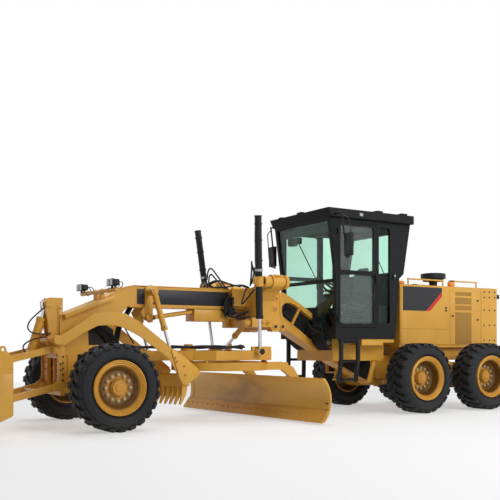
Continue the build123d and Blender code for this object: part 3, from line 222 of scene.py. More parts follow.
def paint(name, colour, deep, dusty, roughness=0.42, edge=0.008, coat=0.12, shine=0.35, smear=None):
    """Sprayed enamel. A smear colour adds the dark stain that soil leaves on a blade."""
    material, tree, place = new_material(name)
    broad = link_node(
        tree, "ShaderNodeTexNoise", inputs={"Vector": place, "Scale": 1 / CLOUD_SIZE, "Detail": 4.0},
    ).outputs["Fac"]
    tone = link_node(
        tree, "ShaderNodeValToRGB", {"stops": [(0.30, linear(deep)), (0.55, linear(colour))]}, {"Fac": broad},
    ).outputs["Color"]
    height = link_node(tree, "ShaderNodeSeparateXYZ", inputs={0: place}).outputs["Z"]
    low = link_node(
        tree, "ShaderNodeMapRange", inputs={"Value": height, "From Min": 0.9, "From Max": 0.1, "To Max": 0.35},
    ).outputs[0]
    fine = link_node(
        tree, "ShaderNodeTexNoise", inputs={"Vector": place, "Scale": 1 / DUST_GRAIN, "Detail": 6.0},
    ).outputs["Fac"]
    dust = link_node(tree, "ShaderNodeMath", {"operation": "MULTIPLY"}, {0: low, 1: fine}).outputs[0]
    if smear:
        tone = link_node(
            tree, "ShaderNodeMix", {"data_type": "RGBA"},
            {0: soil_stain(tree, place), 6: tone, 7: linear(smear)},
        ).outputs[2]
    skin_colour = link_node(
        tree, "ShaderNodeMix", {"data_type": "RGBA"}, {0: dust, 6: tone, 7: linear(dusty)},
    ).outputs[2]
    rough = link_node(
        tree, "ShaderNodeMapRange",
        inputs={"Value": fine, "To Min": roughness - 0.07, "To Max": roughness + 0.09},
    ).outputs[0]
    peel = link_node(
        tree, "ShaderNodeTexNoise", inputs={"Vector": place, "Scale": 1 / PEEL_GRAIN, "Detail": 2.0},
    ).outputs["Fac"]
    rounded = link_node(tree, "ShaderNodeBevel", {"samples": 4}, {"Radius": edge}).outputs["Normal"]
    skin = link_node(
        tree, "ShaderNodeBump",
        inputs={"Height": peel, "Distance": 0.0004, "Strength": 0.25, "Normal": rounded},
    ).outputs["Normal"]
    shader = link_node(
        tree, "ShaderNodeBsdfPrincipled",
        inputs={
            "Base Color": skin_colour, "Roughness": rough, "Normal": skin, "Coat Weight": coat,
            "Coat Roughness": 0.18, "IOR": 1.5, "Specular IOR Level": shine,
        },
    )
    finish_material(tree, shader)
    return material


yellow = paint("polyurethane_enamel_yellow", "#D7A13A", "#CC9432", "#C2A067")
yellow_deep = paint("polyurethane_enamel_rim_yellow", "#C98E2C", "#B87C20", "#A98650")
blade_yellow = paint(
    "polyurethane_enamel_soiled", "#E0AA42", "#D39C38", "#C7A062", 0.38, 0.008, 0.15, 0.4, "#7E5F36",
)
charcoal = paint("powder_coat_charcoal", "#1B1C1D", "#171819", "#4A4640", 0.58, 0.006, 0.0, 0.13)
black_paint = paint("powder_coat_black", "#161718", "#111213", "#44413C", 0.5, 0.004, 0.0, 0.25)
print("paints", yellow.name, charcoal.name)

# %% [markdown]
# Tyre rubber is matt and nearly black, greyer where dust sits in its pores, with fine moulded rings on the
# sidewall. The rings run round each wheel's own axle, so the material is given the hub's place and reads
# the distance from it.

# %% Tyres
TYRE_RING_PITCH = 0.021
PORE_SIZE = 0.012


def from_axle(tree, place, hub):
    """A place measured from a wheel's hub, and its distance from the wheel's axle."""
    centred = link_node(
        tree, "ShaderNodeMapping", inputs={"Vector": place, "Location": [-value for value in hub]},
    ).outputs[0]
    flat = link_node(
        tree, "ShaderNodeVectorMath", {"operation": "MULTIPLY"}, {0: centred, 1: (1, 0, 1)},
    ).outputs[0]
    radius = link_node(tree, "ShaderNodeVectorMath", {"operation": "LENGTH"}, {0: flat}).outputs["Value"]
    return centred, radius


def tyre_rubber(name, hub):
    """Vulcanised rubber with rings on its sidewall, about a hub."""
    material, tree, place = new_material(name)
    radius = from_axle(tree, place, hub)[1]
    turns = link_node(
        tree, "ShaderNodeMath", {"operation": "MULTIPLY"}, {0: radius, 1: 2 * pi / TYRE_RING_PITCH},
    ).outputs[0]
    rings = link_node(tree, "ShaderNodeMath", {"operation": "SINE"}, {0: turns}).outputs[0]
    wall = link_node(
        tree, "ShaderNodeMapRange",
        inputs={"Value": radius, "From Min": 0.48, "From Max": 0.50, "To Min": 1, "To Max": 0},
    ).outputs[0]
    ring_height = link_node(
        tree, "ShaderNodeMath", {"operation": "MULTIPLY"}, {0: rings, 1: wall},
    ).outputs[0]
    pore = link_node(
        tree, "ShaderNodeTexNoise", inputs={"Vector": place, "Scale": 1 / PORE_SIZE, "Detail": 5.0},
    ).outputs["Fac"]
    tone = link_node(
        tree, "ShaderNodeValToRGB",
        {"stops": [(0.25, linear("#1F2022")), (0.6, linear("#262729")), (0.9, linear("#323233"))]},
        {"Fac": pore},
    ).outputs["Color"]
    height = link_node(tree, "ShaderNodeSeparateXYZ", inputs={0: place}).outputs["Z"]
    low = link_node(
        tree, "ShaderNodeMapRange", inputs={"Value": height, "From Min": 0.25, "From Max": 0.0, "To Max": 0.35},
    ).outputs[0]
    colour = link_node(
        tree, "ShaderNodeMix", {"data_type": "RGBA"}, {0: low, 6: tone, 7: linear("#54504A")},
    ).outputs[2]
    rounded = link_node(tree, "ShaderNodeBevel", {"samples": 4}, {"Radius": 0.008}).outputs["Normal"]
    rippled = link_node(
        tree, "ShaderNodeBump",
        inputs={"Height": ring_height, "Distance": 0.0015, "Strength": 0.35, "Normal": rounded},
    ).outputs["Normal"]
    pitted = link_node(
        tree, "ShaderNodeBump", inputs={"Height": pore, "Distance": 0.001, "Strength": 0.5, "Normal": rippled},
    ).outputs["Normal"]
    shader = link_node(
        tree, "ShaderNodeBsdfPrincipled",
        inputs={
            "Base Color": colour, "Roughness": 0.68, "Normal": pitted, "IOR": 1.52, "Specular IOR Level": 0.2,
        },
    )
    finish_material(tree, shader)
    return material


print("tyre rings every", TYRE_RING_PITCH, "m")

# %% [markdown]
# Rims are painted with the machine. The paint is brightest on the lip and on the hub, and brown in the dish
# between, where road dirt and brake dust stay and where the brown is also painted shade of the deep dish. So
# the material reads how deep a point lies behind the lip and how far it is from the axle.

# %% Rims
LIP_DEPTH = 0.215
RIM_BLOTCH_SIZE = 0.10


def rim_paint(name, hub, side):
    """Rim enamel that goes brown with depth behind the lip, as dust and painted shade; side is 1 on the
    machine's left.
    """
    material, tree, place = new_material(name)
    centred, radius = from_axle(tree, place, hub)
    across = link_node(tree, "ShaderNodeSeparateXYZ", inputs={0: centred}).outputs["Y"]
    inside = link_node(
        tree, "ShaderNodeMapRange", {"interpolation_type": "SMOOTHSTEP"},
        {"Value": radius, "From Min": 0.335, "From Max": 0.295},
    ).outputs[0]
    depth = link_node(
        tree, "ShaderNodeMapRange", {"interpolation_type": "SMOOTHSTEP"},
        {"Value": across, "From Min": side * (LIP_DEPTH - 0.015), "From Max": side * (LIP_DEPTH - 0.075)},
    ).outputs[0]
    off_hub = link_node(
        tree, "ShaderNodeMapRange", {"interpolation_type": "SMOOTHSTEP"},
        {"Value": radius, "From Min": 0.12, "From Max": 0.23, "To Min": 0.25, "To Max": 1.0},
    ).outputs[0]
    rim_blotches = link_node(
        tree, "ShaderNodeTexNoise", inputs={"Vector": place, "Scale": 1 / RIM_BLOTCH_SIZE, "Detail": 5.0},
    ).outputs["Fac"]
    in_dish = link_node(tree, "ShaderNodeMath", {"operation": "MULTIPLY"}, {0: inside, 1: off_hub}).outputs[0]
    share = link_node(tree, "ShaderNodeMath", {"operation": "MULTIPLY"}, {0: depth, 1: in_dish}).outputs[0]
    uneven = link_node(
        tree, "ShaderNodeMapRange", inputs={"Value": rim_blotches, "To Min": 0.75, "To Max": 1.1},
    ).outputs[0]
    dust_and_shade = link_node(
        tree, "ShaderNodeMath", {"operation": "MULTIPLY", "use_clamp": True}, {0: share, 1: uneven},
    ).outputs[0]
    tone = link_node(
        tree, "ShaderNodeValToRGB",
        {"stops": [(0.3, linear("#C98E2C")), (0.7, linear("#D39C38"))]}, {"Fac": rim_blotches},
    ).outputs["Color"]
    # The dark brown of the dish is brake dust and painted shade together
    colour = link_node(
        tree, "ShaderNodeMix", {"data_type": "RGBA"}, {0: dust_and_shade, 6: tone, 7: linear("#553611")},
    ).outputs[2]
    rounded = link_node(tree, "ShaderNodeBevel", {"samples": 4}, {"Radius": 0.004}).outputs["Normal"]
    shader = link_node(
        tree, "ShaderNodeBsdfPrincipled",
        inputs={
            "Base Color": colour, "Roughness": 0.42, "Normal": rounded, "IOR": 1.5, "Specular IOR Level": 0.35,
            "Coat Weight": 0.1,
        },
    )
    finish_material(tree, shader)
    return material


print("rim lips stand", LIP_DEPTH, "m out")

# %% [markdown]
# The rest of the finishes are simpler: hard chrome on the cylinder rods, tinted laminated glass, hose
# rubber, worn plate on the cutting edge, moulded lamp lenses, and the seat's woven cloth. Glass is a thin
# pane here: it lets light straight through with its tint, can carry a pale grey matt film, and mirrors more
# the flatter one looks along it. On the door panes that film is dust and painted reflection, a flat grey
# that stands for what the panes mirror. Cloth threads are drawn 4 mm apart, coarser than the real 1 mm, so
# that they show.

# %% Metal, glass, rubber and cloth
THREAD_PITCH = 0.004
WAVES_PER_PITCH = 3.2


def plain_finish(name, colour, variation, roughness, grain, metallic=0.0, grain_depth=0.0003, **extra):
    """A finish of one colour with a grain, a bump from the same grain, and rounded edges."""
    material, tree, place = new_material(name)
    pattern = link_node(
        tree, "ShaderNodeTexNoise", inputs={"Vector": place, "Scale": 1 / grain, "Detail": 5.0},
    ).outputs["Fac"]
    tone = link_node(
        tree, "ShaderNodeValToRGB", {"stops": [(0.3, linear(colour)), (0.75, linear(variation))]},
        {"Fac": pattern},
    ).outputs["Color"]
    rounded = link_node(tree, "ShaderNodeBevel", {"samples": 4}, {"Radius": 0.003}).outputs["Normal"]
    skin = link_node(
        tree, "ShaderNodeBump",
        inputs={"Height": pattern, "Distance": grain_depth, "Strength": 0.4, "Normal": rounded},
    ).outputs["Normal"]
    inputs = {"Base Color": tone, "Roughness": roughness, "Metallic": metallic, "Normal": skin}
    inputs.update(extra)
    finish_material(tree, link_node(tree, "ShaderNodeBsdfPrincipled", inputs=inputs))
    return material


STREAK_SIZE = 0.35


def tinted_glass(name, colour, grey_film_share, mirror):
    """Laminated glass as a thin pane, with its tint, a grey film that is dust and painted reflection, and a
    mirror shine.
    """
    material, tree, place = new_material(name)
    streaks = link_node(
        tree, "ShaderNodeTexNoise", inputs={"Vector": place, "Scale": 1 / STREAK_SIZE, "Detail": 2.0},
    ).outputs["Fac"]
    tint = link_node(
        tree, "ShaderNodeValToRGB",
        {"stops": [(0.2, linear(colour)), (0.9, linear("#F1FDF8"))]}, {"Fac": streaks},
    ).outputs["Color"]
    through = link_node(tree, "ShaderNodeBsdfTransparent", inputs={"Color": tint})
    shine = link_node(
        tree, "ShaderNodeBsdfPrincipled",
        inputs={"Base Color": linear("#F2F5F4"), "Roughness": 0.03, "Metallic": 1.0},
    )
    # A pale grey matt film: on the door panes it is dust and painted reflection, a flat grey for what they
    # mirror
    film = link_node(
        tree, "ShaderNodeBsdfPrincipled", inputs={"Base Color": linear("#A9ADAC"), "Roughness": 0.9},
    )
    filmed_pane = link_node(
        tree, "ShaderNodeMixShader", inputs={0: grey_film_share, 1: through.outputs[0], 2: film.outputs[0]},
    )
    facing = link_node(tree, "ShaderNodeLayerWeight", inputs={"Blend": 0.5}).outputs["Facing"]
    steep = link_node(tree, "ShaderNodeMath", {"operation": "POWER"}, {0: facing, 1: 4.0}).outputs[0]
    share = link_node(
        tree, "ShaderNodeMapRange", inputs={"Value": steep, "To Min": mirror, "To Max": 0.7},
    ).outputs[0]
    pane = link_node(
        tree, "ShaderNodeMixShader", inputs={0: share, 1: filmed_pane.outputs[0], 2: shine.outputs[0]},
    )
    finish_material(tree, pane)
    return material


def woven_cloth(name, colour, light):
    """Seat cloth, its threads crossing along X and Z."""
    material, tree, place = new_material(name)
    threads = [
        link_node(
            tree, "ShaderNodeTexWave", {"bands_direction": direction},
            {"Vector": place, "Scale": 1 / THREAD_PITCH / WAVES_PER_PITCH, "Distortion": 0.6},
        ).outputs["Fac"]
        for direction in ("X", "Z")
    ]
    both = link_node(
        tree, "ShaderNodeMath", {"operation": "MAXIMUM"}, {0: threads[0], 1: threads[1]},
    ).outputs[0]
    tone = link_node(
        tree, "ShaderNodeValToRGB", {"stops": [(0.2, linear(colour)), (0.9, linear(light))]}, {"Fac": both},
    ).outputs["Color"]
    raised = link_node(
        tree, "ShaderNodeBump", inputs={"Height": both, "Distance": 0.0008, "Strength": 0.6},
    ).outputs["Normal"]
    shader = link_node(
        tree, "ShaderNodeBsdfPrincipled",
        inputs={"Base Color": tone, "Roughness": 0.9, "Sheen Weight": 0.3, "Normal": raised},
    )
    finish_material(tree, shader)
    return material


chrome = plain_finish("hard_chrome_rod", "#D8D9DB", "#C6C8CB", 0.12, 0.004, 1.0, 0.00002)
glass = tinted_glass("laminated_glass_green", "#EAFBF4", 0.0, 0.012)
# Door panes: their grey film is dust and painted reflection
door_glass = tinted_glass("laminated_glass_green_dust_and_painted_reflection", "#EAFBF4", 0.10, 0.03)
DULL = {"Specular IOR Level": 0.25}
hose_rubber = plain_finish("braided_hose_rubber", "#141516", "#1E1F21", 0.55, 0.003, **DULL)
ground_steel = plain_finish("ground_plate_yellow_worn", "#D79A30", "#B98A3C", 0.45, 0.03)
grey_steel = plain_finish("zinc_plated_steel", "#A9A9A6", "#8C8B86", 0.35, 0.006, 0.8)
black_plastic = plain_finish("moulded_black_abs", "#131415", "#1C1D1F", 0.45, 0.003, **DULL)
engine_iron = plain_finish("painted_cast_iron_dark", "#303132", "#242425", 0.6, 0.01, **DULL)
cloth = woven_cloth("woven_seat_cloth", "#2C2D31", "#47494F")
seal_rubber = plain_finish("window_seal_rubber", "#111213", "#191A1B", 0.6, 0.004, **DULL)
badge_dark = plain_finish("vinyl_film_charcoal", "#27282C", "#232427", 0.4, 0.05, **DULL)
badge_red = plain_finish("vinyl_film_red", "#CE3226", "#C22C21", 0.4, 0.05, **DULL)
# Near black painted shade: it lines a deep recess and makes the two flat plates that stand for shade
painted_shade_black = plain_finish("cast_shadow_black_paint", "#1B1A17", "#24211B", 0.6, 0.02, **DULL)
mirror_silver = plain_finish("silvered_mirror_glass", "#DDE2E4", "#D2D8DB", 0.04, 0.02, 1.0, 0.0)
amber = plain_finish("moulded_amber_lens", "#F08A1C", "#E57A10", 0.25, 0.01)
lens = plain_finish("moulded_clear_lens", "#DDE3E6", "#C2CACE", 0.12, 0.01)
red_lens = plain_finish("moulded_red_lens", "#A81D17", "#8E1612", 0.2, 0.01)
nut_finish = plain_finish("yellow_zinc_nuts", "#C0B08E", "#9C8A66", 0.4, 0.006, 0.2)
mesh_screen = plain_finish("punched_sheet_yellow_shade", "#B3862A", "#8F6A20", 0.55, 0.006)
print("finishes", len(bpy.data.materials))

# %% [markdown]
# The ready made solids get their finishes by name. Most of the machine is yellow, the cab is charcoal.

# %% Finishes of the CAD solids
WHEELS = {
    "front_left": (0.0, 1.035), "front_right": (0.0, -1.035),
    "tandem_left_front": (-5.4185, 1.035), "tandem_left_rear": (-6.9415, 1.035),
    "tandem_right_front": (-5.4185, -1.035), "tandem_right_rear": (-6.9415, -1.035),
}
HUB_Z = 0.583
finish_of = {name: yellow for name in nodes}
for name in ("cab_shell", "cab_roof", "console", "door_left", "door_right"):
    finish_of[name] = charcoal
for name in ("mirrors", "ladders", "precleaner", "lift_barrel_left", "lift_barrel_right"):
    finish_of[name] = black_paint
finish_of["cab_glass"] = glass
for name in ("door_glass_left", "door_glass_right"):
    finish_of[name] = door_glass
finish_of["moldboard"] = blade_yellow
for name in ("lift_rod_left", "lift_rod_right", "shift_rod", "scarifier_rods", "push_rod"):
    finish_of[name] = chrome
finish_of["engine"] = engine_iron
finish_of["seat"] = cloth
finish_of["cutting_edge"] = ground_steel
for wheel, (x, y) in WHEELS.items():
    finish_of[f"tyre_{wheel}"] = tyre_rubber(f"tyre_rubber_{wheel}", at(x, y, HUB_Z))
    finish_of[f"rim_{wheel}"] = rim_paint(f"rim_enamel_{wheel}", at(x, y, HUB_Z), 1 if y > 0 else -1)
for name, finish in finish_of.items():
    materials = nodes[name].data.materials
    materials.clear()
    materials.append(finish)
print("solids with a finish", len(finish_of))


# %% [markdown]
# New pieces are modelled by hand's operators. Each starts as a primitive at its own size and place, is
# shaped in edit mode, and is finished so that its object sits at the origin with its place in its mesh.
# These helpers do the parts that repeat: clearing the selection, finishing a piece, a block with bevelled
# edges, a round bar, a bent tube, a plate with a drawn outline, and a row of bolts.

# %% Modelling helpers
def only(piece):
    """Selects one object alone."""
    if bpy.context.mode != "OBJECT":
        bpy.ops.object.mode_set(mode="OBJECT")
    bpy.ops.object.select_all(action="DESELECT")
    piece.select_set(True)
    bpy.context.view_layer.objects.active = piece
    return piece


def clear():
    if bpy.context.mode != "OBJECT":
        bpy.ops.object.mode_set(mode="OBJECT")
    bpy.ops.object.select_all(action="DESELECT")


def settle(piece, smooth_angle=35):
    """Puts a piece's place into its mesh and shades its round faces smooth."""
    only(piece)
    bpy.ops.object.transform_apply(location=True, rotation=True, scale=True)
    bpy.ops.object.shade_smooth_by_angle(angle=radians(smooth_angle))
    return piece


def edit_bevel(piece, width, segments=2):
    """Bevels all of a piece's sharp edges in edit mode."""
    only(piece)
    bpy.ops.object.mode_set(mode="EDIT")
    bpy.ops.mesh.select_all(action="SELECT")
    bpy.ops.mesh.bevel(offset=width, segments=segments, affect="EDGES", clamp_overlap=True)
    bpy.ops.object.mode_set(mode="OBJECT")
    return piece


def block(low, high, width=0.004):
    """A block between two corners, given from the front axle, with bevelled edges."""
    first, last = at(*low), at(*high)
    clear()
    bpy.ops.mesh.primitive_cube_add(size=1, location=(first + last) / 2)
    piece = bpy.context.object
    piece.scale = [abs(value) for value in last - first]
    settle(piece)
    return edit_bevel(piece, width)


def bar(start, end, radius, sides=20, width=0.002):
    """A round bar between two points given from the front axle, with bevelled rims."""
    first, last = at(*start), at(*end)
    clear()
    bpy.ops.mesh.primitive_cylinder_add(
        vertices=sides, radius=radius, depth=(last - first).length, location=(first + last) / 2,
        rotation=(last - first).to_track_quat("Z", "Y").to_euler(),
    )
    piece = settle(bpy.context.object)
    modifier = piece.modifiers.new("rims", "BEVEL")
    modifier.width = width
    modifier.segments = 2
    modifier.limit_method = "ANGLE"
    modifier.angle_limit = radians(50)
    bpy.ops.object.modifier_apply(modifier="rims")
    return settle(piece)


def hoop(start, end, radius, wall, sides=28):
    """An open ring between two points given from the front axle, so that a rod can pass through it."""
    first, last = at(*start), at(*end)
    clear()
    bpy.ops.mesh.primitive_cylinder_add(
        vertices=sides, radius=radius, depth=(last - first).length, end_fill_type="NOTHING",
        location=(first + last) / 2, rotation=(last - first).to_track_quat("Z", "Y").to_euler(),
    )
    piece = settle(bpy.context.object)
    modifier = piece.modifiers.new("wall", "SOLIDIFY")
    modifier.thickness = wall
    modifier.offset = -1
    bpy.ops.object.modifier_apply(modifier="wall")
    return settle(piece)


def tube(points, radius, sides=3):
    """A bent tube or hose that follows points given from the front axle, made a mesh."""
    clear()
    bpy.ops.curve.primitive_nurbs_path_add()
    piece = bpy.context.object
    piece.location = (0, 0, 0)
    curve = piece.data
    curve.splines.clear()
    spline = curve.splines.new("NURBS")
    spline.points.add(len(points) - 1)
    for target, source in zip(spline.points, points):
        target.co = (*at(*source), 1)
    spline.order_u = 3
    spline.use_endpoint_u = True
    spline.resolution_u = 5
    curve.bevel_depth = radius
    curve.bevel_resolution = sides
    curve.use_fill_caps = True
    only(piece)
    bpy.ops.object.convert(target="MESH")
    return settle(bpy.context.object, 60)


def plate(outline, axis, start, thickness, width=0.003):
    """A plate with a drawn outline. Axis y takes (x, z) points, x takes (y, z), z takes (x, y)."""
    clear()
    bpy.ops.mesh.primitive_circle_add(vertices=len(outline), radius=1, fill_type="NGON")
    piece = bpy.context.object
    for vertex, (first, second) in zip(piece.data.vertices, outline):
        if axis == "y":
            vertex.co = at(first, start, second)
        elif axis == "x":
            vertex.co = at(start, first, second)
        else:
            vertex.co = at(first, second, start)
    step = {"x": (thickness, 0, 0), "y": (0, thickness, 0), "z": (0, 0, thickness)}[axis]
    bpy.ops.object.mode_set(mode="EDIT")
    bpy.ops.mesh.select_all(action="SELECT")
    bpy.ops.mesh.extrude_region_move(TRANSFORM_OT_translate={"value": step})
    bpy.ops.mesh.select_all(action="SELECT")
    bpy.ops.mesh.normals_make_consistent(inside=False)
    bpy.ops.object.mode_set(mode="OBJECT")
    if width:
        modifier = piece.modifiers.new("edges", "BEVEL")
        modifier.width = width
        modifier.segments = 2
        modifier.limit_method = "ANGLE"
        modifier.angle_limit = radians(50)
        bpy.ops.object.modifier_apply(modifier="edges")
    return settle(piece)


def joined(pieces, name, finish, body="chassis"):
    """Joins pieces into one, names it, gives it its finish and lets it ride on a body."""
    clear()
    for piece in pieces:
        piece.select_set(True)
    bpy.context.view_layer.objects.active = pieces[0]
    if len(pieces) > 1:
        bpy.ops.object.join()
    piece = bpy.context.view_layer.objects.active
    piece.name = name
    piece.data.name = name
    piece.data.materials.clear()
    piece.data.materials.append(finish)
    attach(piece, body)
    return piece


def copies(model, moves):
    """One modelled piece, copied to each move or matrix, each copy with its own mesh. The model goes."""
    made = []
    for move in moves:
        twin = model.copy()
        twin.data = model.data.copy()
        bpy.context.scene.collection.objects.link(twin)
        matrix = move if isinstance(move, Matrix) else Matrix.Translation(Vector(move))
        twin.data.transform(matrix)
        if matrix.determinant() < 0:
            twin.data.flip_normals()
        made.append(twin)
    bpy.data.objects.remove(model)
    return made


def bolt_model(radius=0.016, height=0.012):
    """A hexagon bolt head on its washer, at the origin, its top towards +Z."""
    clear()
    bpy.ops.mesh.primitive_cylinder_add(vertices=12, radius=radius * 1.35, depth=0.004, location=(0, 0, 0.002))
    washer = bpy.context.object
    bpy.ops.mesh.primitive_cylinder_add(
        vertices=6, radius=radius, depth=height, location=(0, 0, 0.004 + height / 2),
    )
    head = bpy.context.object
    bpy.ops.object.mode_set(mode="EDIT")
    bpy.ops.mesh.select_all(action="SELECT")
    bpy.ops.mesh.bevel(offset=radius * 0.12, segments=1, affect="EDGES")
    bpy.ops.object.mode_set(mode="OBJECT")
    washer.select_set(True)
    bpy.ops.object.join()
    bpy.ops.object.transform_apply(location=True, rotation=True, scale=True)
    return bpy.context.object


def bolts(places, normal, name, finish, body="chassis", radius=0.016):
    """A group of like bolts whose heads point along one direction."""
    turn = Vector(normal).to_track_quat("Z", "Y").to_matrix().to_4x4()
    model = bolt_model(radius)
    made = copies(model, [Matrix.Translation(at(*place)) @ turn for place in places])
    return joined(made, name, finish, body)


MIRROR_Y = Matrix.Scale(-1, 4, Vector((0, 1, 0)))


def both_sides(pieces):
    """The pieces and their mirror images on the machine's other side."""
    twins = []
    for piece in pieces:
        twin = piece.copy()
        twin.data = piece.data.copy()
        bpy.context.scene.collection.objects.link(twin)
        twin.data.transform(MIRROR_Y)
        twin.data.flip_normals()
        twins.append(twin)
    return list(pieces) + twins


def pair(pieces, name, finish, body="chassis"):
    """The pieces and their mirror images, joined."""
    return joined(both_sides(pieces), name, finish, body)


def bolt_pair(places, name, finish, radius, body="chassis"):
    """Bolts on the machine's left side and the same ones on its right, as two groups."""
    for side, side_name in ((1, "left"), (-1, "right")):
        turned = [(x, side * y, z) for x, y, z in places]
        bolts(turned, (0, side, 0), f"{name}_{side_name}", finish, body, radius)


print("helpers ready")

# %% [markdown]
# The front frame is a box beam of welded plate. Its top and bottom plates stand a little proud of its
# sides, and the side carries a long charcoal panel. A bracket each side holds the scarifier cylinders'
# cross shaft, and a plain box hangs under the beam. Thin plates are modelled from drawn outlines.

# %% Beam plates, side panel, bracket and box
top_plate = block((-2.24, -0.166, 2.0005), (-0.66, 0.166, 2.011), 0.003)
bottom_plate = block((-2.24, -0.166, 1.688), (-0.58, 0.166, 1.6995), 0.003)
slope_bar = plate(
    [(0.395, 1.500), (0.405, 1.566), (-0.120, 1.782), (-0.330, 1.850), (-0.345, 1.795), (-0.130, 1.706)],
    "y", 0.1505, 0.075, 0.006,
)
top_flange = plate(
    [(0.395, 1.5525), (0.395, 1.566), (-0.155, 1.792), (-0.470, 1.970), (-0.640, 2.011), (-0.640, 2.0005),
     (-0.462, 1.9515), (-0.150, 1.7755)], "y", -0.168, 0.336, 0.003,
)
head_bracket = plate(
    [(-0.82, 1.985), (-0.90, 2.020), (-1.02, 2.000), (-1.035, 1.955), (-0.940, 1.743), (-0.943, 1.478),
     (-0.882, 1.465), (-0.791, 1.534), (-0.744, 1.621), (-0.815, 1.711)], "y", 0.151, 0.035, 0.006,
)
foot_boss = bar((-0.87, 0.15, 1.545), (-0.87, 0.235, 1.545), 0.055)
head_boss = bar((-0.862, 0.15, 1.910), (-0.862, 0.345, 1.910), 0.052)
tank = plate([(-1.64, 1.687), (-2.25, 1.687), (-2.25, 1.50), (-1.64, 1.50)], "y", -0.15, 0.30, 0.012)
sides = both_sides([slope_bar, head_bracket, foot_boss, head_boss])
joined([top_plate, bottom_plate, top_flange, tank] + sides, "beam_plates", yellow)
panel = plate([(-0.70, 1.958), (-0.70, 1.738), (-2.245, 1.738), (-2.245, 1.958)], "y", 0.1505, 0.003, 0.001)
pair([panel], "beam_side_panels", badge_dark)
strut = bar((-0.98, 0.09, 1.545), (-1.62, 0.09, 1.640), 0.030)
strut_end = bar((-0.93, 0.09, 1.538), (-1.00, 0.09, 1.548), 0.036)
pair([strut], "beam_strut", yellow)
pair([strut_end], "beam_strut_ends", black_paint)
print("beam pieces done")

# %% [markdown]
# Four work lamps stand in pairs on a cross bar over the gooseneck. A lamp is a moulded housing with a
# rim, a clear lens and a bracket, and a short wire loops from its back to the bar.

# %% Work lamps
LAMP_BAR_Z = 1.905
bar_piece = bar((-0.17, -0.70, LAMP_BAR_Z), (-0.17, 0.70, LAMP_BAR_Z), 0.030)
clamps = [bar((-0.17, y, LAMP_BAR_Z), (-0.17, y + 0.03, LAMP_BAR_Z), 0.038) for y in (-0.45, -0.16, 0.13, 0.42)]
stands = [
    plate([(-0.14, 1.775), (-0.21, 1.81), (-0.20, LAMP_BAR_Z), (-0.15, LAMP_BAR_Z)], "y", y, 0.08, 0.004)
    for y in (-0.15, 0.07)
]
bar_all = joined([bar_piece] + clamps + stands, "lamp_cross_bar", yellow)
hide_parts("lamp_bar")
LAMP_Y = (0.555, 0.675)
housings, lenses, wires = [], [], []
for lamp_y in LAMP_Y:
    housing = block((-0.205, lamp_y - 0.048, 1.955), (-0.105, lamp_y + 0.048, 2.045), 0.02)
    rim = block((-0.112, lamp_y - 0.052, 1.950), (-0.092, lamp_y + 0.052, 2.050), 0.006)
    foot = block((-0.17, lamp_y - 0.012, LAMP_BAR_Z + 0.01), (-0.14, lamp_y + 0.012, 1.96), 0.003)
    housings += [housing, rim, foot]
    lenses.append(block((-0.096, lamp_y - 0.044, 1.958), (-0.088, lamp_y + 0.044, 2.042), 0.003))
    wires.append(
        tube([(-0.20, lamp_y, 2.00), (-0.26, lamp_y, 2.02), (-0.29, lamp_y - 0.06, 1.96),
              (-0.22, lamp_y - 0.10, 1.90), (-0.17, lamp_y - 0.12, 1.88)], 0.006)
    )
pair(housings, "work_lamp_housings", black_plastic)
pair(lenses, "work_lamp_lenses", lens)
pair(wires, "work_lamp_wires", hose_rubber)
print("lamps done")

# %% [markdown]
# The engine enclosure is folded sheet with doors. The doors are modelled as thin plates that stand on the
# shell, so that the gaps between them read as seams. A charcoal film with a red stripe is cut at a slant
# on the front door. Behind it, the rear door's screens are plain sheets with raised ribs. Nothing is
# punched in them: their darker yellow stands for the shade in the holes of a real screen.

# %% Engine doors, screens and film
SHELL_Y = 0.550
doors = [
    # x front, x rear, z low, z high
    (-5.462, -6.60, 1.415, 2.165), (-5.462, -6.60, 1.145, 1.400),
    (-6.625, -6.755, 1.145, 2.165), (-7.165, -7.40, 1.760, 2.165), (-7.165, -7.40, 1.145, 1.745),
    (-7.425, -7.840, 1.145, 2.165),
    (-6.7545, -7.1655, 1.145, 1.150), (-6.7545, -7.1655, 1.725, 1.765), (-6.7545, -7.1655, 1.845, 1.875),
    (-6.7545, -7.1655, 1.995, 2.030), (-6.7545, -7.1655, 2.095, 2.165),
]
panels = []
for front, rear, low, high in doors:
    panels.append(block((rear, SHELL_Y, low), (front, SHELL_Y + 0.006, high), 0.0015))
strip = block((-5.452, SHELL_Y, 1.14), (-5.430, SHELL_Y + 0.010, 2.15), 0.003)
pair(panels + [strip], "engine_doors", yellow, "rear")
SCREENS = [(1.150, 1.725), (1.765, 1.845), (1.875, 1.995), (2.030, 2.095)]
screens, ribs = [], []
for low, high in SCREENS:
    screens.append(block((-7.16, SHELL_Y + 0.0005, low), (-6.76, SHELL_Y + 0.002, high), 0.0005))
    rows = max(2, int((high - low) / 0.022))
    for row in range(rows):
        z = low + (row + 0.5) * (high - low) / rows
        ribs.append(block((-7.155, SHELL_Y + 0.002, z - 0.003), (-6.765, SHELL_Y + 0.006, z + 0.003), 0.001))
pair(screens, "engine_screens", mesh_screen, "rear")
pair(ribs, "engine_screen_ribs", yellow_deep, "rear")
film = plate(
    [(-5.490, 2.155), (-6.420, 2.155), (-6.420, 2.085), (-6.035, 1.735), (-5.490, 1.735)],
    "y", SHELL_Y + 0.0065, 0.001, 0,
)
pair([film], "engine_door_film", badge_dark, "rear")
stripe = plate(
    [(-6.420, 2.085), (-6.420, 2.000), (-6.130, 1.735), (-6.035, 1.735)], "y", SHELL_Y + 0.0065, 0.001, 0,
)
pair([stripe], "engine_door_stripe", badge_red, "rear")
print("engine doors done")

# %% [markdown]
# Small fittings of the enclosure: dome bolts in rows on the rear panel, door latches, amber marker lamps
# on top at the front and in the middle, and tail lamps at the back.

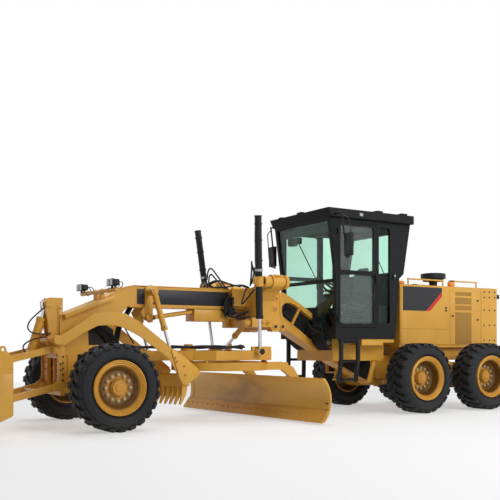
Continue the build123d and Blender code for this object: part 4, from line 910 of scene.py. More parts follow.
# %% Engine enclosure fittings
rows = []
for x in (-7.50, -7.64, -7.78):
    for z in (1.22, 1.50, 1.78, 2.02, 2.12):
        rows.append((x, SHELL_Y + 0.006, z))
bolt_pair(rows, "rear_panel_bolts", engine_iron, 0.010, "rear")
latches = [block((x - 0.022, SHELL_Y + 0.005, z - 0.016), (x + 0.022, SHELL_Y + 0.014, z + 0.016), 0.005)
           for x, z in ((-6.52, 1.80), (-6.52, 1.75), (-6.69, 1.66), (-7.33, 1.60), (-7.33, 1.95))]
pair(latches, "engine_door_latches", black_plastic, "rear")
markers = []
for x, height in ((-5.50, 0.06), (-6.72, 0.09)):
    markers.append(block((x - 0.06, 0.44, 2.192), (x + 0.06, 0.53, 2.192 + height), 0.02))
pair(markers, "marker_lamps", amber, "rear")
pair(
    [block((-6.78, 0.445, 2.280), (-6.69, 0.525, 2.305), 0.01)], "marker_lamp_caps", black_plastic, "rear",
)
tail = [block((-8.062, 0.42, 0.98), (-8.045, 0.53, 1.08), 0.006)]
pair(tail, "tail_lamps", red_lens, "rear")
rear_lamp = [block((-7.93, 0.47, 2.00), (-7.85, 0.55, 2.08), 0.015)]
pair(rear_lamp, "rear_work_lamps", black_plastic, "rear")
print("enclosure fittings done")

# %% [markdown]
# Wheel nuts are zinc plated and show pale against the yellow hub, and a raised cap closes the hub.

# %% Wheel nuts and hub caps
STUD_CIRCLE = 0.170
STUDS = 12
FRONT_DISC_OUT = 0.095
TANDEM_DISC_OUT = 0.005
for wheel, (x, y) in WHEELS.items():
    side = 1 if y > 0 else -1
    disc_out = FRONT_DISC_OUT if x == 0 else TANDEM_DISC_OUT
    face = y + side * (disc_out + 0.029)
    places = []
    for number in range(STUDS):
        angle = 2 * pi * number / STUDS
        places.append((x + STUD_CIRCLE * cos(angle), face, HUB_Z + STUD_CIRCLE * sin(angle)))
    bolts(places, (0, side, 0), f"wheel_nuts_{wheel}", nut_finish, f"wheel_{wheel}", radius=0.017)
    cap_face = y + side * (disc_out + 0.049)
    cap = bar((x, cap_face, HUB_Z), (x, cap_face + side * 0.026, HUB_Z), 0.098, 40, 0.020)
    step = bar((x, cap_face, HUB_Z), (x, cap_face + side * 0.038, HUB_Z), 0.055, 28, 0.010)
    joined([cap, step], f"hub_cap_{wheel}", yellow_deep, f"wheel_{wheel}")
print("wheel fittings done")

# %% [markdown]
# The gooseneck is a fabricated box with a deep recess each side, where the hoses run down from the beam to
# the valves under the cab. A black plate in the recess is painted shade, and nine hoses lie in it side by side.

# %% Gooseneck recess and its hoses
# Painted shade: this near black plate darkens the recess the way deep shade would
recess = plate(
    [(-3.268, 1.606), (-3.240, 1.682), (-3.255, 1.760), (-3.309, 1.813), (-3.400, 1.821), (-3.497, 1.788),
     (-3.637, 1.699), (-3.985, 1.469), (-4.050, 1.398), (-3.992, 1.128)], "y", 0.0705, 0.0025, 0,
)
pair([recess], "gooseneck_recess_painted_shade", painted_shade_black)
LANES = 9
runs = []
for lane in range(LANES):
    low = (lane + 0.35) / LANES
    start_x, start_z = -3.375 + 0.090 * low, 1.800 - 0.190 * low
    end_x, end_z = -4.015 + 0.040 * low, 1.390 - 0.250 * low
    points = []
    for step in range(6):
        along = step / 5
        sway = 0.006 * sin(5 * along + 2.1 * lane)
        points.append((
            start_x + (end_x - start_x) * along, 0.092 + 0.014 * (lane % 2) + sway,
            start_z + (end_z - start_z) * along + sway,
        ))
    runs.append(tube(points, 0.0135))
pair(runs, "gooseneck_hoses", hose_rubber)
links = []
for number in range(6):
    x, z = -3.442 - 0.0333 * number, 1.470 + 0.0567 * number
    links.append(bar((x, 0.1405, z), (x, 0.1500, z), 0.017, 12, 0.003))
pair(links, "gooseneck_cross_bar_links", yellow_deep)
rim_strip = tube(
    [(-3.25, 0.152, 1.60), (-3.60, 0.152, 1.335), (-4.00, 0.152, 1.03), (-4.34, 0.152, 0.815)], 0.007,
)
pair([rim_strip], "gooseneck_edge_weld", yellow)
print("recess done")

# %% [markdown]
# A hydraulic machine carries dozens of hoses. Each is a rubber tube with a crimped steel end, and the
# makers leave loops where a part swings. They are modelled as smooth curves through a few points and then
# made meshes, thicker for the lift cylinders and thinner for the controls.

# %% Hoses
HOSE = 0.013


def crimp(place, direction):
    """A crimped ferrule with a hexagon nut at a hose's end."""
    way = Vector(direction).normalized()
    start = Vector(place)
    ferrule = bar(start, start + way * 0.045, 0.018, 12, 0.002)
    nut = bar(start + way * 0.045, start + way * 0.065, 0.021, 6, 0.002)
    return [ferrule, nut]


yoke_hoses, push_hoses, fittings = [], [], []
for y in (0.185, 0.215, 0.245):
    yoke_hoses.append(
        tube([(-2.00, 0.03 + y * 0.5, 2.026), (-2.16, y * 0.8, 2.034), (-2.30, y, 2.060),
              (-2.42, y + 0.06, 2.075), (-2.50, y + 0.10, 2.03)], HOSE)
    )
loop_points = [
    [(-2.48, 0.45, 2.085), (-2.43, 0.60, 2.22), (-2.39, 0.69, 2.33), (-2.36, 0.72, 2.25), (-2.38, 0.74, 2.14)],
    [(-2.50, 0.38, 2.06), (-2.42, 0.56, 2.30), (-2.36, 0.64, 2.42), (-2.33, 0.70, 2.36), (-2.345, 0.745, 2.22)],
    [(-2.46, 0.34, 2.05), (-2.34, 0.42, 1.86), (-2.26, 0.50, 1.74), (-2.29, 0.60, 1.82), (-2.40, 0.66, 1.98)],
]
yoke_hoses += [tube(points, HOSE) for points in loop_points]
cluster = [
    [(-2.27, 0.262, 1.86), (-2.20, 0.32, 1.80), (-2.22, 0.34, 1.66), (-2.32, 0.34, 1.60), (-2.45, 0.36, 1.66)],
    [(-2.27, 0.262, 1.80), (-2.17, 0.30, 1.70), (-2.20, 0.30, 1.58), (-2.34, 0.30, 1.54), (-2.52, 0.36, 1.58)],
    [(-2.10, 0.16, 1.70), (-2.16, 0.22, 1.60), (-2.28, 0.24, 1.56), (-2.40, 0.25, 1.60), (-2.55, 0.24, 1.66)],
]
yoke_hoses += [tube(points, HOSE) for points in cluster]
for lane in range(5):
    drop = 0.045 * lane
    yoke_hoses.append(
        tube([(-2.265, 0.235, 1.93 - drop), (-2.20, 0.250, 1.90 - drop), (-2.13, 0.245, 1.82 - drop),
              (-2.12, 0.230, 1.74 - 0.8 * drop), (-2.16, 0.20, 1.66 - 0.5 * drop)], HOSE)
    )
for lane in range(2):
    yoke_hoses.append(
        tube([(-1.86 - 0.05 * lane, 0.05, 2.030), (-1.93 - 0.05 * lane, 0.16, 2.120), (-2.05, 0.24, 2.130),
              (-2.20, 0.30, 2.060), (-2.34, 0.36, 2.040)], HOSE)
    )
pair(yoke_hoses, "yoke_hoses", hose_rubber)
for place in ((-2.262, 0.262, 1.86), (-2.262, 0.262, 1.80)):
    fittings += crimp(place, (1, 0.3, 0))
manifold = block((-2.30, 0.155, 1.60), (-2.16, 0.27, 1.70), 0.006)
pair([manifold] + fittings, "yoke_valve_blocks", black_plastic)

# A flat black plate on the flat side of the frame stands for deep shade: there is no recess behind it
neck_lining = plate(
    [(0.045, 1.420), (-0.070, 1.445), (-0.200, 1.440), (-0.330, 1.360), (-0.335, 1.140), (0.035, 1.140)],
    "y", 0.1505, 0.002, 0,
)
pair([neck_lining], "neck_shadow_lining", painted_shade_black)
neck_hoses = []
for lane in range(5):
    y = 0.172 + 0.012 * (lane % 2)
    back = 0.042 * lane
    neck_hoses.append(
        tube([(0.02 - back, y, 1.425), (-0.06 - back, y + 0.01, 1.360), (-0.17 - back, y + 0.02, 1.260),
              (-0.24 - back, y + 0.01, 1.17), (-0.27 - back, y, 1.10)], 0.013)
    )
for lane in range(4):
    y = -0.09 + 0.050 * lane
    neck_hoses.append(
        tube([(-0.66, y, 1.69), (-0.60, y + 0.01, 1.58), (-0.48, y + 0.03, 1.42), (-0.44, y + 0.02, 1.24),
              (-0.43, y, 1.12)], 0.014)
    )
neck_hoses.append(
    tube([(-0.395, 0.12, 1.55), (-0.47, 0.17, 1.44), (-0.56, 0.18, 1.28), (-0.66, 0.12, 1.16)], 0.010)
)
joined(neck_hoses, "neck_hoses", hose_rubber)

top_hoses = []
DRAWBAR_EDGE = [
    (-0.62, 0.06), (-0.85, 0.10), (-1.15, 0.17), (-1.40, 0.27),
    (-1.62, 0.44), (-1.85, 0.55), (-2.10, 0.58), (-2.28, 0.58),
]
for lane in range(5):
    points = []
    for number, (x, y) in enumerate(DRAWBAR_EDGE):
        rise = 0.052 * abs(sin(1.9 * number + 1.3 * lane)) + 0.012 * (lane % 2)
        inwards = 0.034 * lane * min(1.0, y / 0.3)
        points.append((x, y - inwards + 0.012 * sin(2.3 * number + lane), 1.069 + rise))
    top_hoses.append(tube(points, 0.0145))
for x, inner, outer in ((-1.10, 0.02, 0.17), (-1.66, 0.40, 0.50), (-2.00, 0.42, 0.62)):
    top_hoses.append(block((x - 0.02, inner, 1.051), (x + 0.02, outer, 1.058), 0.002))
joined(top_hoses, "drawbar_hoses", hose_rubber, "drawbar")

push_loops = [
    [(0.640, 0.075, 1.66), (0.72, 0.10, 1.60), (0.885, 0.12, 1.45), (0.89, 0.12, 1.33), (0.74, 0.12, 1.28),
     (0.565, 0.12, 1.30)],
    [(0.565, 0.13, 1.25), (0.75, 0.14, 1.25), (0.93, 0.13, 1.17), (0.965, 0.12, 1.09), (0.90, 0.09, 1.03)],
]
push_hoses = [tube(points, 0.010) for points in push_loops]
joined(push_hoses, "push_cylinder_hoses", hose_rubber)
for side, side_name in ((1, "left"), (-1, "right")):
    top = Vector((-2.364, 0.850 * side, 2.090))
    foot = Vector((-2.454, 0.736 * side, 1.040))
    up = (top - foot).normalized()
    pieces = []
    for offset, start, end in ((0.062, 0.90, 0.10), (0.078, 0.86, 0.16)):
        shift = Vector((0.03, -0.3 * side, 0)).normalized() * offset
        pieces.append(
            tube([top + up * start + shift * 0.7, top + up * (start - 0.05) + shift,
                  top + up * (start + end) / 2 + shift, top + up * (end + 0.1) + shift * 1.1,
                  top + up * end + shift * 0.8], 0.010)
        )
    for distance in (0.30, 0.60, 0.84):
        pieces.append(hoop(top + up * distance, top + up * (distance + 0.018), 0.061, 0.012))
    cap = bar(top + up * 0.955, top + up * 0.975, 0.058, 24, 0.004)
    joined(pieces + [cap], f"lift_barrel_hoses_{side_name}", hose_rubber, f"lift_barrel_{side_name}")
    band = hoop(top + up * 0.150, top + up * 0.185, 0.0575, 0.008)
    joined([band], f"lift_barrel_band_{side_name}", grey_steel, f"lift_barrel_{side_name}")
    ring = hoop(top - up * 0.075, top + up * 0.075, 0.0715, 0.010)
    lobe = block((-2.300, side * 0.850 - 0.035, 2.045), (-2.275, side * 0.850 + 0.035, 2.135), 0.01)
    joined([ring, lobe], f"lift_trunnion_ring_{side_name}", yellow, f"lift_barrel_{side_name}")
    gland = hoop(foot + up * 0.515, foot + up * 0.545, 0.058, 0.010)
    joined([gland], f"lift_gland_{side_name}", black_plastic, f"lift_barrel_{side_name}")
    eye_cover = bar((-2.454, side * 0.7845, 1.040), (-2.454, side * 0.795, 1.040), 0.0675, 32, 0.003)
    joined([eye_cover], f"lift_eye_cover_{side_name}", yellow, f"lift_rod_{side_name}")
    ball_cap = bar(
        (-2.454, side * 0.795, 1.040), (-2.454, side * 0.817, 1.040), 0.043, 24, 0.010,
    )
    joined([ball_cap], f"lift_ball_cap_{side_name}", black_plastic, f"lift_rod_{side_name}")
print("hoses done")

# %% [markdown]
# The yoke is a casting that hugs the beam, bolted through its cheeks. Bolt rows, a cover plate on the
# beam's back and the flanges of the trunnion bosses show how it is put together.

# %% Yoke fittings
cover = plate(
    [(-2.555, -0.33), (-2.555, 0.33), (-2.85, 0.33), (-2.85, -0.33)], "z", 2.013, 0.022, 0.006,
)
joined([cover], "yoke_cover_plate", yellow)
CHEEK_PLACES = ((-2.660, 1.480), (-2.770, 1.480), (-2.905, 1.700), (-2.930, 1.870))
cheek_bolts = [(x, 0.4865, z) for x, z in CHEEK_PLACES]
bolt_pair(cheek_bolts, "yoke_cheek_bolts", yellow_deep, 0.017)
ring_places = []
for number in range(6):
    angle = 2 * pi * number / 6
    ring_places.append((-2.8505, 0.850 + 0.087 * cos(angle), 2.090 + 0.087 * sin(angle)))
bolts(ring_places, (-1, 0, 0), "trunnion_bolts_left", yellow_deep, radius=0.011)
bolts([(x, -y, z) for x, y, z in ring_places], (-1, 0, 0), "trunnion_bolts_right", yellow_deep, radius=0.011)
rib_outline = [
    (0.475, 1.98), (0.60, 2.06), (0.70, 2.10), (0.70, 2.06), (0.62, 1.99), (0.52, 1.88), (0.475, 1.76),
]
ribs = [plate(rib_outline, "x", -2.725, 0.03, 0.004)]
hump = bar((-2.60, 0.36, 2.045), (-2.82, 0.36, 2.045), 0.045, 16, 0.01)
collars = [
    bar((-2.560, 0.850, 2.090), (-2.590, 0.850, 2.090), 0.112, 36, 0.010),
    block((-2.600, 0.790, 2.165), (-2.690, 0.905, 2.203), 0.016),
    block((-2.715, 0.800, 2.165), (-2.790, 0.895, 2.199), 0.014),
]
end_flange = bar((-2.8505, 0.850, 2.090), (-2.876, 0.850, 2.090), 0.070, 28, 0.006)
pair(ribs + [hump, end_flange] + collars, "yoke_ribs", yellow)
bead = tube([(-2.86, 0.455, 2.035), (-2.955, 0.455, 1.975), (-3.010, 0.455, 1.900), (-3.005, 0.455, 1.760),
             (-3.005, 0.455, 1.610), (-3.075, 0.455, 1.500), (-3.080, 0.455, 1.400)], 0.030)
BOSSES = ((-2.930, 1.870, 0.050), (-2.905, 1.700, 0.046), (-2.660, 1.480, 0.050), (-2.770, 1.480, 0.046))
bosses = [bar((x, 0.4605, z), (x, 0.486, z), radius, 28, 0.008) for x, z, radius in BOSSES]
eyes = []
for x in (-2.905, -3.040):
    eyes.append(bar((x, 0.4705, 1.425), (x, 0.482, 1.425), 0.048, 28, 0.006))
pair([bead] + bosses + eyes, "yoke_cast_edges", yellow)
pair(
    [bar((x, 0.4825, 1.425), (x, 0.488, 1.425), 0.026, 20, 0.002) for x in (-2.905, -3.040)],
    "yoke_pin_heads", engine_iron,
)
print("yoke fittings done")

# %% [markdown]
# The scarifier cylinders hang from the bracket on the beam. A clevis at the barrel's head, a clamp ring at
# its gland and a wear plate on each arm's end finish them. The shanks are held in a pocket by bolts.

# %% Scarifier fittings
head = Vector((-0.862, 0.400, 1.910))
eye = Vector((-1.130, 0.400, 1.015))
way = (eye - head).normalized()
rings = [
    hoop(head + way * 0.555, head + way * 0.580, 0.050, 0.010),
    hoop(head + way * 0.075, head + way * 0.100, 0.048, 0.008),
    block((-0.92, 0.350, 1.845), (-0.835, 0.372, 1.955), 0.012),
]
pair(rings, "scarifier_cylinder_rings", yellow, "scarifier_barrels")
port = [bar(head + way * 0.53 + Vector((0, 0.03, 0)), head + way * 0.53 + Vector((0.0, 0.075, 0.0)), 0.014, 12)]
pair(port, "scarifier_ports", grey_steel, "scarifier_barrels")
holder = plate(
    [(-1.075, 1.050), (-1.120, 1.075), (-1.185, 1.030), (-1.290, 0.965), (-1.500, 0.790), (-1.545, 0.740),
     (-1.520, 0.690), (-1.340, 0.560), (-1.265, 0.560), (-1.215, 0.640)], "y", 0.5085, 0.018, 0.004,
)
inner = plate(
    [(-1.075, 1.050), (-1.120, 1.075), (-1.185, 1.030), (-1.290, 0.965), (-1.500, 0.790), (-1.545, 0.740),
     (-1.520, 0.690), (-1.340, 0.560), (-1.265, 0.560), (-1.215, 0.640)], "y", 0.4535, 0.018, 0.004,
)
pair([holder, inner], "scarifier_end_plates", yellow, "scarifier")
end_bolts = [(-1.140, 0.5265, 0.955), (-1.165, 0.5265, 0.900), (-1.285, 0.5265, 0.830), (-1.300, 0.5265, 0.700)]
bolt_pair(end_bolts, "scarifier_bolts", yellow_deep, 0.014, "scarifier")
pivot_caps = [bar((0.600, 0.530, 1.205), (0.600, 0.545, 1.205), 0.062, 28, 0.006)]
pair(pivot_caps, "scarifier_pivot_caps", yellow)
tooth_pockets = []
for number in range(11):
    y = -0.450 + 0.090 * number
    x = -1.130 - 0.200 * abs(y) / 0.490
    tooth_pockets.append(block((x - 0.062, y - 0.024, 0.560), (x - 0.046, y + 0.024, 0.650), 0.003))
joined(tooth_pockets, "scarifier_shank_wedges", engine_iron, "scarifier")
print("scarifier fittings done")

# %% [markdown]
# The lift bracket on the nose is bolted to the bolster through thick plates. The push plate's ends carry a
# doubler with a seam, and its lower edge has a bolted wear strip.

# %% Front bracket and push plate fittings
ear_bolts = []
for z in (0.60, 0.70, 0.80, 0.90, 1.00):
    ear_bolts += [(0.5255, side * y, z) for side in (1, -1) for y in (0.245, 0.355)]
bolts(ear_bolts, (1, 0, 0), "lift_bracket_bolts", yellow_deep, radius=0.012)
side_plate = plate(
    [(0.500, 1.150), (0.590, 1.148), (0.632, 1.120), (0.638, 1.075), (0.606, 1.035), (0.562, 1.010),
     (0.548, 0.960), (0.548, 0.700), (0.562, 0.650), (0.612, 0.620), (0.638, 0.575), (0.626, 0.530),
     (0.585, 0.512), (0.530, 0.530), (0.462, 0.600), (0.462, 1.110)], "y", 0.3885, 0.014, 0.003,
)
pair([side_plate], "lift_bracket_side_plates", yellow)
side_bolts = [(0.490, 0.4030, z) for z in (0.66, 0.74, 0.82, 0.90, 0.98)]
side_bolts += [(0.525, 0.4030, z) for z in (0.80, 0.88)]
bolt_pair(side_bolts, "lift_bracket_side_bolts", engine_iron, 0.010)
mast_ribs = [
    plate([(0.41, 1.20), (0.47, 1.20), (0.47, 1.70), (0.41, 1.70)], "y", 0.1205, 0.012, 0.003),
    bar((0.600, 0.1255, 1.703), (0.600, 0.140, 1.703), 0.045, 24, 0.004),
]
pair(mast_ribs, "mast_doublers", yellow)
mast_bolts = [(0.44, 0.1325, z) for z in (1.25, 1.35, 1.45, 1.55, 1.65)]
bolt_pair(mast_bolts, "mast_bolts", yellow_deep, 0.011)
link_caps = []
for z in (1.091, 0.565):
    link_caps.append(bar((0.581, 0.4025, z), (0.581, 0.418, z), 0.040, 24, 0.005))
pair(link_caps, "link_pin_caps", yellow)
doubler = plate(
    [(1.400, 0.800), (1.400, 0.320), (1.425, 0.290), (1.555, 0.232), (1.634, 0.198), (1.634, 0.800)],
    "y", 1.3055, 0.006, 0.002,
)
pair([doubler], "push_plate_doublers", yellow, "push_plate")
wear = []
for number in range(5):
    y = -1.26 + 0.504 * number
    wear.append(block((1.578, y, 0.196), (1.6085, y + 0.498, 0.256), 0.003))
joined(wear, "push_plate_wear_strips", yellow_deep, "push_plate")
print("front fittings done")

# %% [markdown]
# The moldboard wears at its edges, so the makers bolt plates on: an overlay at each end of its face, and a
# row of countersunk bolts through the cutting edge. They are modelled straight and then turned with the
# blade about the middle of the circle.

# %% Blade fittings and the circle's teeth
BLADE_TURN = radians(5.5)
CIRCLE_X = -2.170
ARC_X, ARC_Z, ARC_RADIUS = -2.3447, 0.3515, 0.413
turn_about = Matrix.Translation(at(CIRCLE_X, 0, 0)) @ Matrix.Rotation(BLADE_TURN, 4, "Z") @ Matrix.Translation(
    -at(CIRCLE_X, 0, 0)
)


def arc_place(z, inset):
    """A point in front of the moldboard's face at a height."""
    return (ARC_X - sqrt((ARC_RADIUS - inset) ** 2 - (z - ARC_Z) ** 2), z)


overlays = []
heights = [0.215 + 0.4475 * step / 12 for step in range(13)]
outline = [arc_place(z, 0.0005) for z in heights] + [arc_place(z, 0.006) for z in reversed(heights)]
for start in (-1.743, 1.793):
    overlays.append(plate(outline, "y", start, 0.120, 0.001))
for piece in overlays:
    piece.data.transform(turn_about)
joined(overlays, "moldboard_end_overlays", blade_yellow, "blade")
edge_heads = []
for number in range(24):
    y = -1.68 + 3.53 * number / 23
    edge_heads.append(turn_about @ at(-2.6535, y, 0.1271) - at(0, 0, 0))
edge_way = Matrix.Rotation(BLADE_TURN, 3, "Z") @ Vector((0.807, 0, 0.590))
edge_heads = [tuple(place) for place in edge_heads]
bolts(edge_heads, edge_way, "cutting_edge_bolts", ground_steel, "blade", radius=0.009)
hole_spots = []
for y in (1.835, 1.870):
    x, z = arc_place(0.30, 0.006)
    hole_spots.append(tuple(turn_about @ at(x, y, z) - at(0, 0, 0)))
overlay_way = Matrix.Rotation(BLADE_TURN, 3, "Z") @ Vector((1, 0, 0.13))
bolts(hole_spots, overlay_way, "moldboard_overlay_bolts", engine_iron, "blade", radius=0.009)
TEETH = 72
tooth = block((CIRCLE_X + 0.622, -0.011, 0.765), (CIRCLE_X + 0.644, 0.011, 0.835), 0.003)
teeth = copies(tooth, [
    Matrix.Translation(at(CIRCLE_X, 0, 0)) @ Matrix.Rotation(2 * pi * number / TEETH, 4, "Z")
    @ Matrix.Translation(-at(CIRCLE_X, 0, 0)) for number in range(TEETH)
])
joined(teeth, "circle_gear_teeth", yellow_deep, "circle")
gear_bolts = []
for number in range(8):
    angle = 2 * pi * number / 8
    gear_bolts.append((-1.615 + 0.098 * cos(angle), 0.098 * sin(angle), 1.0855))
bolts(gear_bolts, (0, 0, 1), "circle_drive_bolts", yellow_deep, "drawbar", radius=0.010)
motor = bar((-1.615, 0, 1.1355), (-1.615, 0, 1.150), 0.068, 28, 0.006)
joined([motor], "circle_drive_motor", yellow, "drawbar")
print("blade fittings done")

# %% [markdown]
# Window glass sits in rubber seals with rounded corners, and each door has a grab handle, a latch and a
# wiper stands on the front and rear glass. The seals are strips with a quarter round in each corner.

# %% Cab seals, handles and wipers
CAB_SIDE = 0.790


def corner_fillet(x, z, along_x, along_z, size, y, depth):
    """The small three-sided piece that rounds a window's inner corner."""
    points = [(x, z)]
    for step in range(5):
        angle = pi / 2 * step / 4
        points.append((x + along_x * size * (1 - sin(angle)), z + along_z * size * (1 - cos(angle))))
    return plate(points, "y", y, depth, 0)


def side_seal(rear, front, low, high, y, depth, corner=0.045, width=0.012):
    """A seal round a side window, given by the window's edges."""
    pieces = [
        block((rear, y, low), (rear + width, y + depth, high), 0.002),
        block((front - width, y, low), (front, y + depth, high), 0.002),
        block((rear, y, low), (front, y + depth, low + width), 0.002),
        block((rear, y, high - width), (front, y + depth, high), 0.002),
    ]
    for x, way_x in ((rear + width, 1), (front - width, -1)):
        for z, way_z in ((low + width, 1), (high - width, -1)):
            pieces.append(corner_fillet(x, z, way_x, way_z, corner, y, depth))
    return pieces


door_seals = side_seal(-4.653, -3.932, 1.475, 2.286, 0.782, 0.012)
door_seals += side_seal(-4.653, -3.932, 2.334, 3.083, 0.782, 0.012)
quarter_seals = side_seal(-5.001, -4.734, 1.479, 3.101, 0.782, 0.012)
pair(quarter_seals, "quarter_seals", seal_rubber)
mirrored = both_sides(door_seals)
joined(mirrored[:len(door_seals)], "door_seals_left", seal_rubber, "door_left")
joined(mirrored[len(door_seals):], "door_seals_right", seal_rubber, "door_right")
latch_parts = [
    block((-5.10, CAB_SIDE, 2.235), (-5.05, CAB_SIDE + 0.020, 2.345), 0.008),
]
pair(latch_parts, "door_hold_back_pads", black_plastic)
pair(
    [bar((-5.075, CAB_SIDE + 0.018, 2.290), (-5.075, CAB_SIDE + 0.034, 2.290), 0.018, 20, 0.004)],
    "door_hold_back_studs", grey_steel,
)
wipers = [
    tube([(-3.832, 0.30, 2.190), (-3.800, 0.12, 2.50), (-3.775, -0.02, 2.70)], 0.007),
    tube([(-3.806, 0.16, 2.42), (-3.764, -0.16, 2.90)], 0.009),
    tube([(-3.838, -0.40, 1.445), (-3.838, -0.52, 1.66), (-3.838, -0.56, 1.78)], 0.007),
    tube([(-3.838, 0.40, 1.445), (-3.838, 0.52, 1.66), (-3.838, 0.56, 1.78)], 0.007),
    tube([(-5.30, 0.30, 2.345), (-5.345, 0.10, 2.62), (-5.375, -0.10, 2.84)], 0.008),
]
joined(wipers, "wipers", black_plastic)
visor = block((-3.815, -0.66, 2.965), (-3.805, 0.66, 3.100), 0.003)
interior = [
    visor,
    block((-3.90, -0.40, 2.86), (-3.83, -0.20, 2.97), 0.015),
    block((-4.02, -0.66, 2.86), (-3.90, -0.50, 2.99), 0.02),
    block((-3.98, 0.20, 2.93), (-3.88, 0.36, 3.03), 0.02),
    block((-5.02, -0.70, 1.30), (-4.60, -0.52, 1.80), 0.02),
    block((-5.02, 0.52, 1.30), (-4.60, 0.70, 1.80), 0.02),
]
joined(interior, "cab_interior_trim", black_plastic)
print("cab seals done")

# %% [markdown]
# The operator's seat is foam under woven cloth on a sprung base. Each cushion is modelled as a block with
# rounded edges, remeshed evenly and then filled with air pressure as cloth, so that its faces crown and
# its sides pull in between the corners.

# %% Seat
def inflated(piece, voxel, limit):
    """A block made a cushion: remeshed and blown up as cloth, no point moving more than the limit."""
    only(piece)
    piece.data.remesh_voxel_size = voxel
    bpy.ops.object.voxel_remesh()
    rest = [vertex.co.copy() for vertex in piece.data.vertices]
    modifier = piece.modifiers.new("air", "CLOTH")
    modifier.settings.use_pressure = True
    modifier.settings.uniform_pressure_force = 4
    modifier.settings.effector_weights.gravity = 0
    for number in range(1, 21):
        bpy.context.scene.frame_set(number)
    bpy.ops.object.modifier_apply(modifier="air")
    for vertex, start in zip(piece.data.vertices, rest):
        step = vertex.co - start
        if step.length > limit:
            vertex.co = start + step * (limit / step.length)
    bpy.context.scene.frame_set(1)
    bpy.ops.object.shade_smooth()
    return piece


def leaned(piece, angle, place):
    """Turns a piece about a line across the machine through a place."""
    centre = at(*place)
    piece.data.transform(
        Matrix.Translation(centre) @ Matrix.Rotation(angle, 4, "Y") @ Matrix.Translation(-centre)
    )
    return piece


LEAN = radians(-6.5)
base = [
    block((-4.965, -0.165, 1.297), (-4.675, 0.165, 1.34), 0.006),
    block((-4.98, -0.18, 1.63), (-4.66, 0.18, 1.70), 0.010),
    block((-5.03, -0.24, 1.700), (-4.55, 0.24, 1.740), 0.010),
]
for level in range(6):
    base.append(block((-4.955 + 0.01 * (level % 2), -0.155 + 0.01 * (level % 2), 1.342 + 0.048 * level),
                      (-4.685 - 0.01 * (level % 2), 0.155 - 0.01 * (level % 2), 1.386 + 0.048 * level), 0.012))
stand = joined(base, "seat_base", black_plastic)
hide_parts("seat")
for name, low, high, lean in (
    ("seat_cushion", (-5.03, -0.245, 1.745), (-4.56, 0.245, 1.83), 0),
    ("seat_back", (-5.035, -0.225, 1.86), (-4.955, 0.225, 2.40), LEAN),
    ("seat_headrest", (-5.030, -0.13, 2.41), (-4.97, 0.13, 2.49), LEAN),
):
    cushion = inflated(block(low, high, 0.025), 0.012, 0.018)
    if lean:
        leaned(cushion, lean, (-4.98, 0, 1.85))
    joined([cushion], name, cloth)
shell = leaned(block((-5.055, -0.215, 1.80), (-5.037, 0.215, 2.44), 0.008), LEAN, (-4.98, 0, 1.85))
arms = []
for side in (1, -1):
    arms.append(block((-5.02, side * 0.285 - 0.035, 1.985), (-4.72, side * 0.285 + 0.035, 2.03), 0.015))
    arms.append(block((-5.03, side * 0.285 - 0.02, 1.80), (-4.96, side * 0.285 + 0.02, 1.99), 0.01))
joined([shell] + arms, "seat_shell_and_arms", black_plastic)
print("seat done")

# %% [markdown]
# The mirrors get silvered glass on their rear faces, the ladders grooved treads, the console levers, and
# the roof a front marker and low cable covers.

# %% Mirrors, treads, levers and roof pieces
mirror_faces = [block((-3.9035, 1.010, 2.552), (-3.9005, 1.170, 2.888), 0.001)]
pair(mirror_faces, "mirror_glass", mirror_silver)
mirror_backs = [
    block((-3.859, 1.002, 2.545), (-3.846, 1.178, 2.895), 0.006),
    bar((-3.85, 1.09, 2.58), (-3.84, 1.09, 2.58), 0.030, 20, 0.004),
    tube([(-3.79, 1.03, 3.17), (-3.80, 1.16, 3.15), (-3.84, 1.19, 3.00),
          (-3.86, 1.185, 2.60), (-3.87, 1.10, 2.52), (-3.885, 1.03, 2.52)], 0.009),
]
pair(mirror_backs, "mirror_backs", black_plastic)
TREAD_Y = 0.757
treads = []
for z in (1.180, 0.870, 0.570):
    treads.append(block((-4.315, TREAD_Y - 0.035, z + 0.012), (-3.995, TREAD_Y + 0.028, z + 0.024), 0.004))
    for number in range(8):
        x = -4.30 + 0.04 * number
        treads.append(block((x, TREAD_Y - 0.03, z + 0.024), (x + 0.014, TREAD_Y + 0.024, z + 0.029), 0.001))
pair(treads, "ladder_treads", black_paint)
sleeves = []
for x, y in ((-3.991, 0.750), (-4.330, 0.760)):
    sleeves.append(
        tube([(x, y - 0.030, 1.205), (x, y, 1.205), (x, y, 1.120), (x, y, 0.960), (x + 0.003, y - 0.001, 0.880),
              (x + 0.016, y - 0.015, 0.700), (x + 0.030, y - 0.030, 0.545)], 0.038)
    )
sleeves.append(block((-4.36, 0.700, 1.205), (-3.95, 0.785, 1.232), 0.008))
pair(sleeves, "ladder_sleeves", black_plastic)
levers = []
for number in range(6):
    y = -0.095 + 0.038 * number
    levers.append(tube([(-4.20, y, 1.90), (-4.26, y, 1.99), (-4.31, y * 1.6, 2.06)], 0.006))
    levers.append(bar((-4.305, y * 1.58, 2.05), (-4.325, y * 1.64, 2.085), 0.014, 12, 0.004))
joined(levers, "console_levers", black_plastic)
roof_bits = [
    block((-4.80, 0.72, 3.3205), (-4.66, 0.84, 3.352), 0.012),
    block((-5.34, 0.72, 3.3205), (-5.20, 0.84, 3.352), 0.012),
    block((-3.74, -0.05, 3.3205), (-3.67, 0.09, 3.352), 0.012),
    block((-3.74, -0.60, 3.3205), (-3.67, -0.50, 3.340), 0.006),
]
joined(roof_bits, "roof_covers", black_plastic)
joined(
    [block((-4.36, 0.8505, 3.225), (-4.29, 0.855, 3.275), 0.0015)], "roof_side_plate", grey_steel,
)
gutter = [block((-5.46, 0.8505, 3.185), (-3.74, 0.858, 3.197), 0.002)]
pair(gutter, "roof_gutters", charcoal)
print("cab outside done")

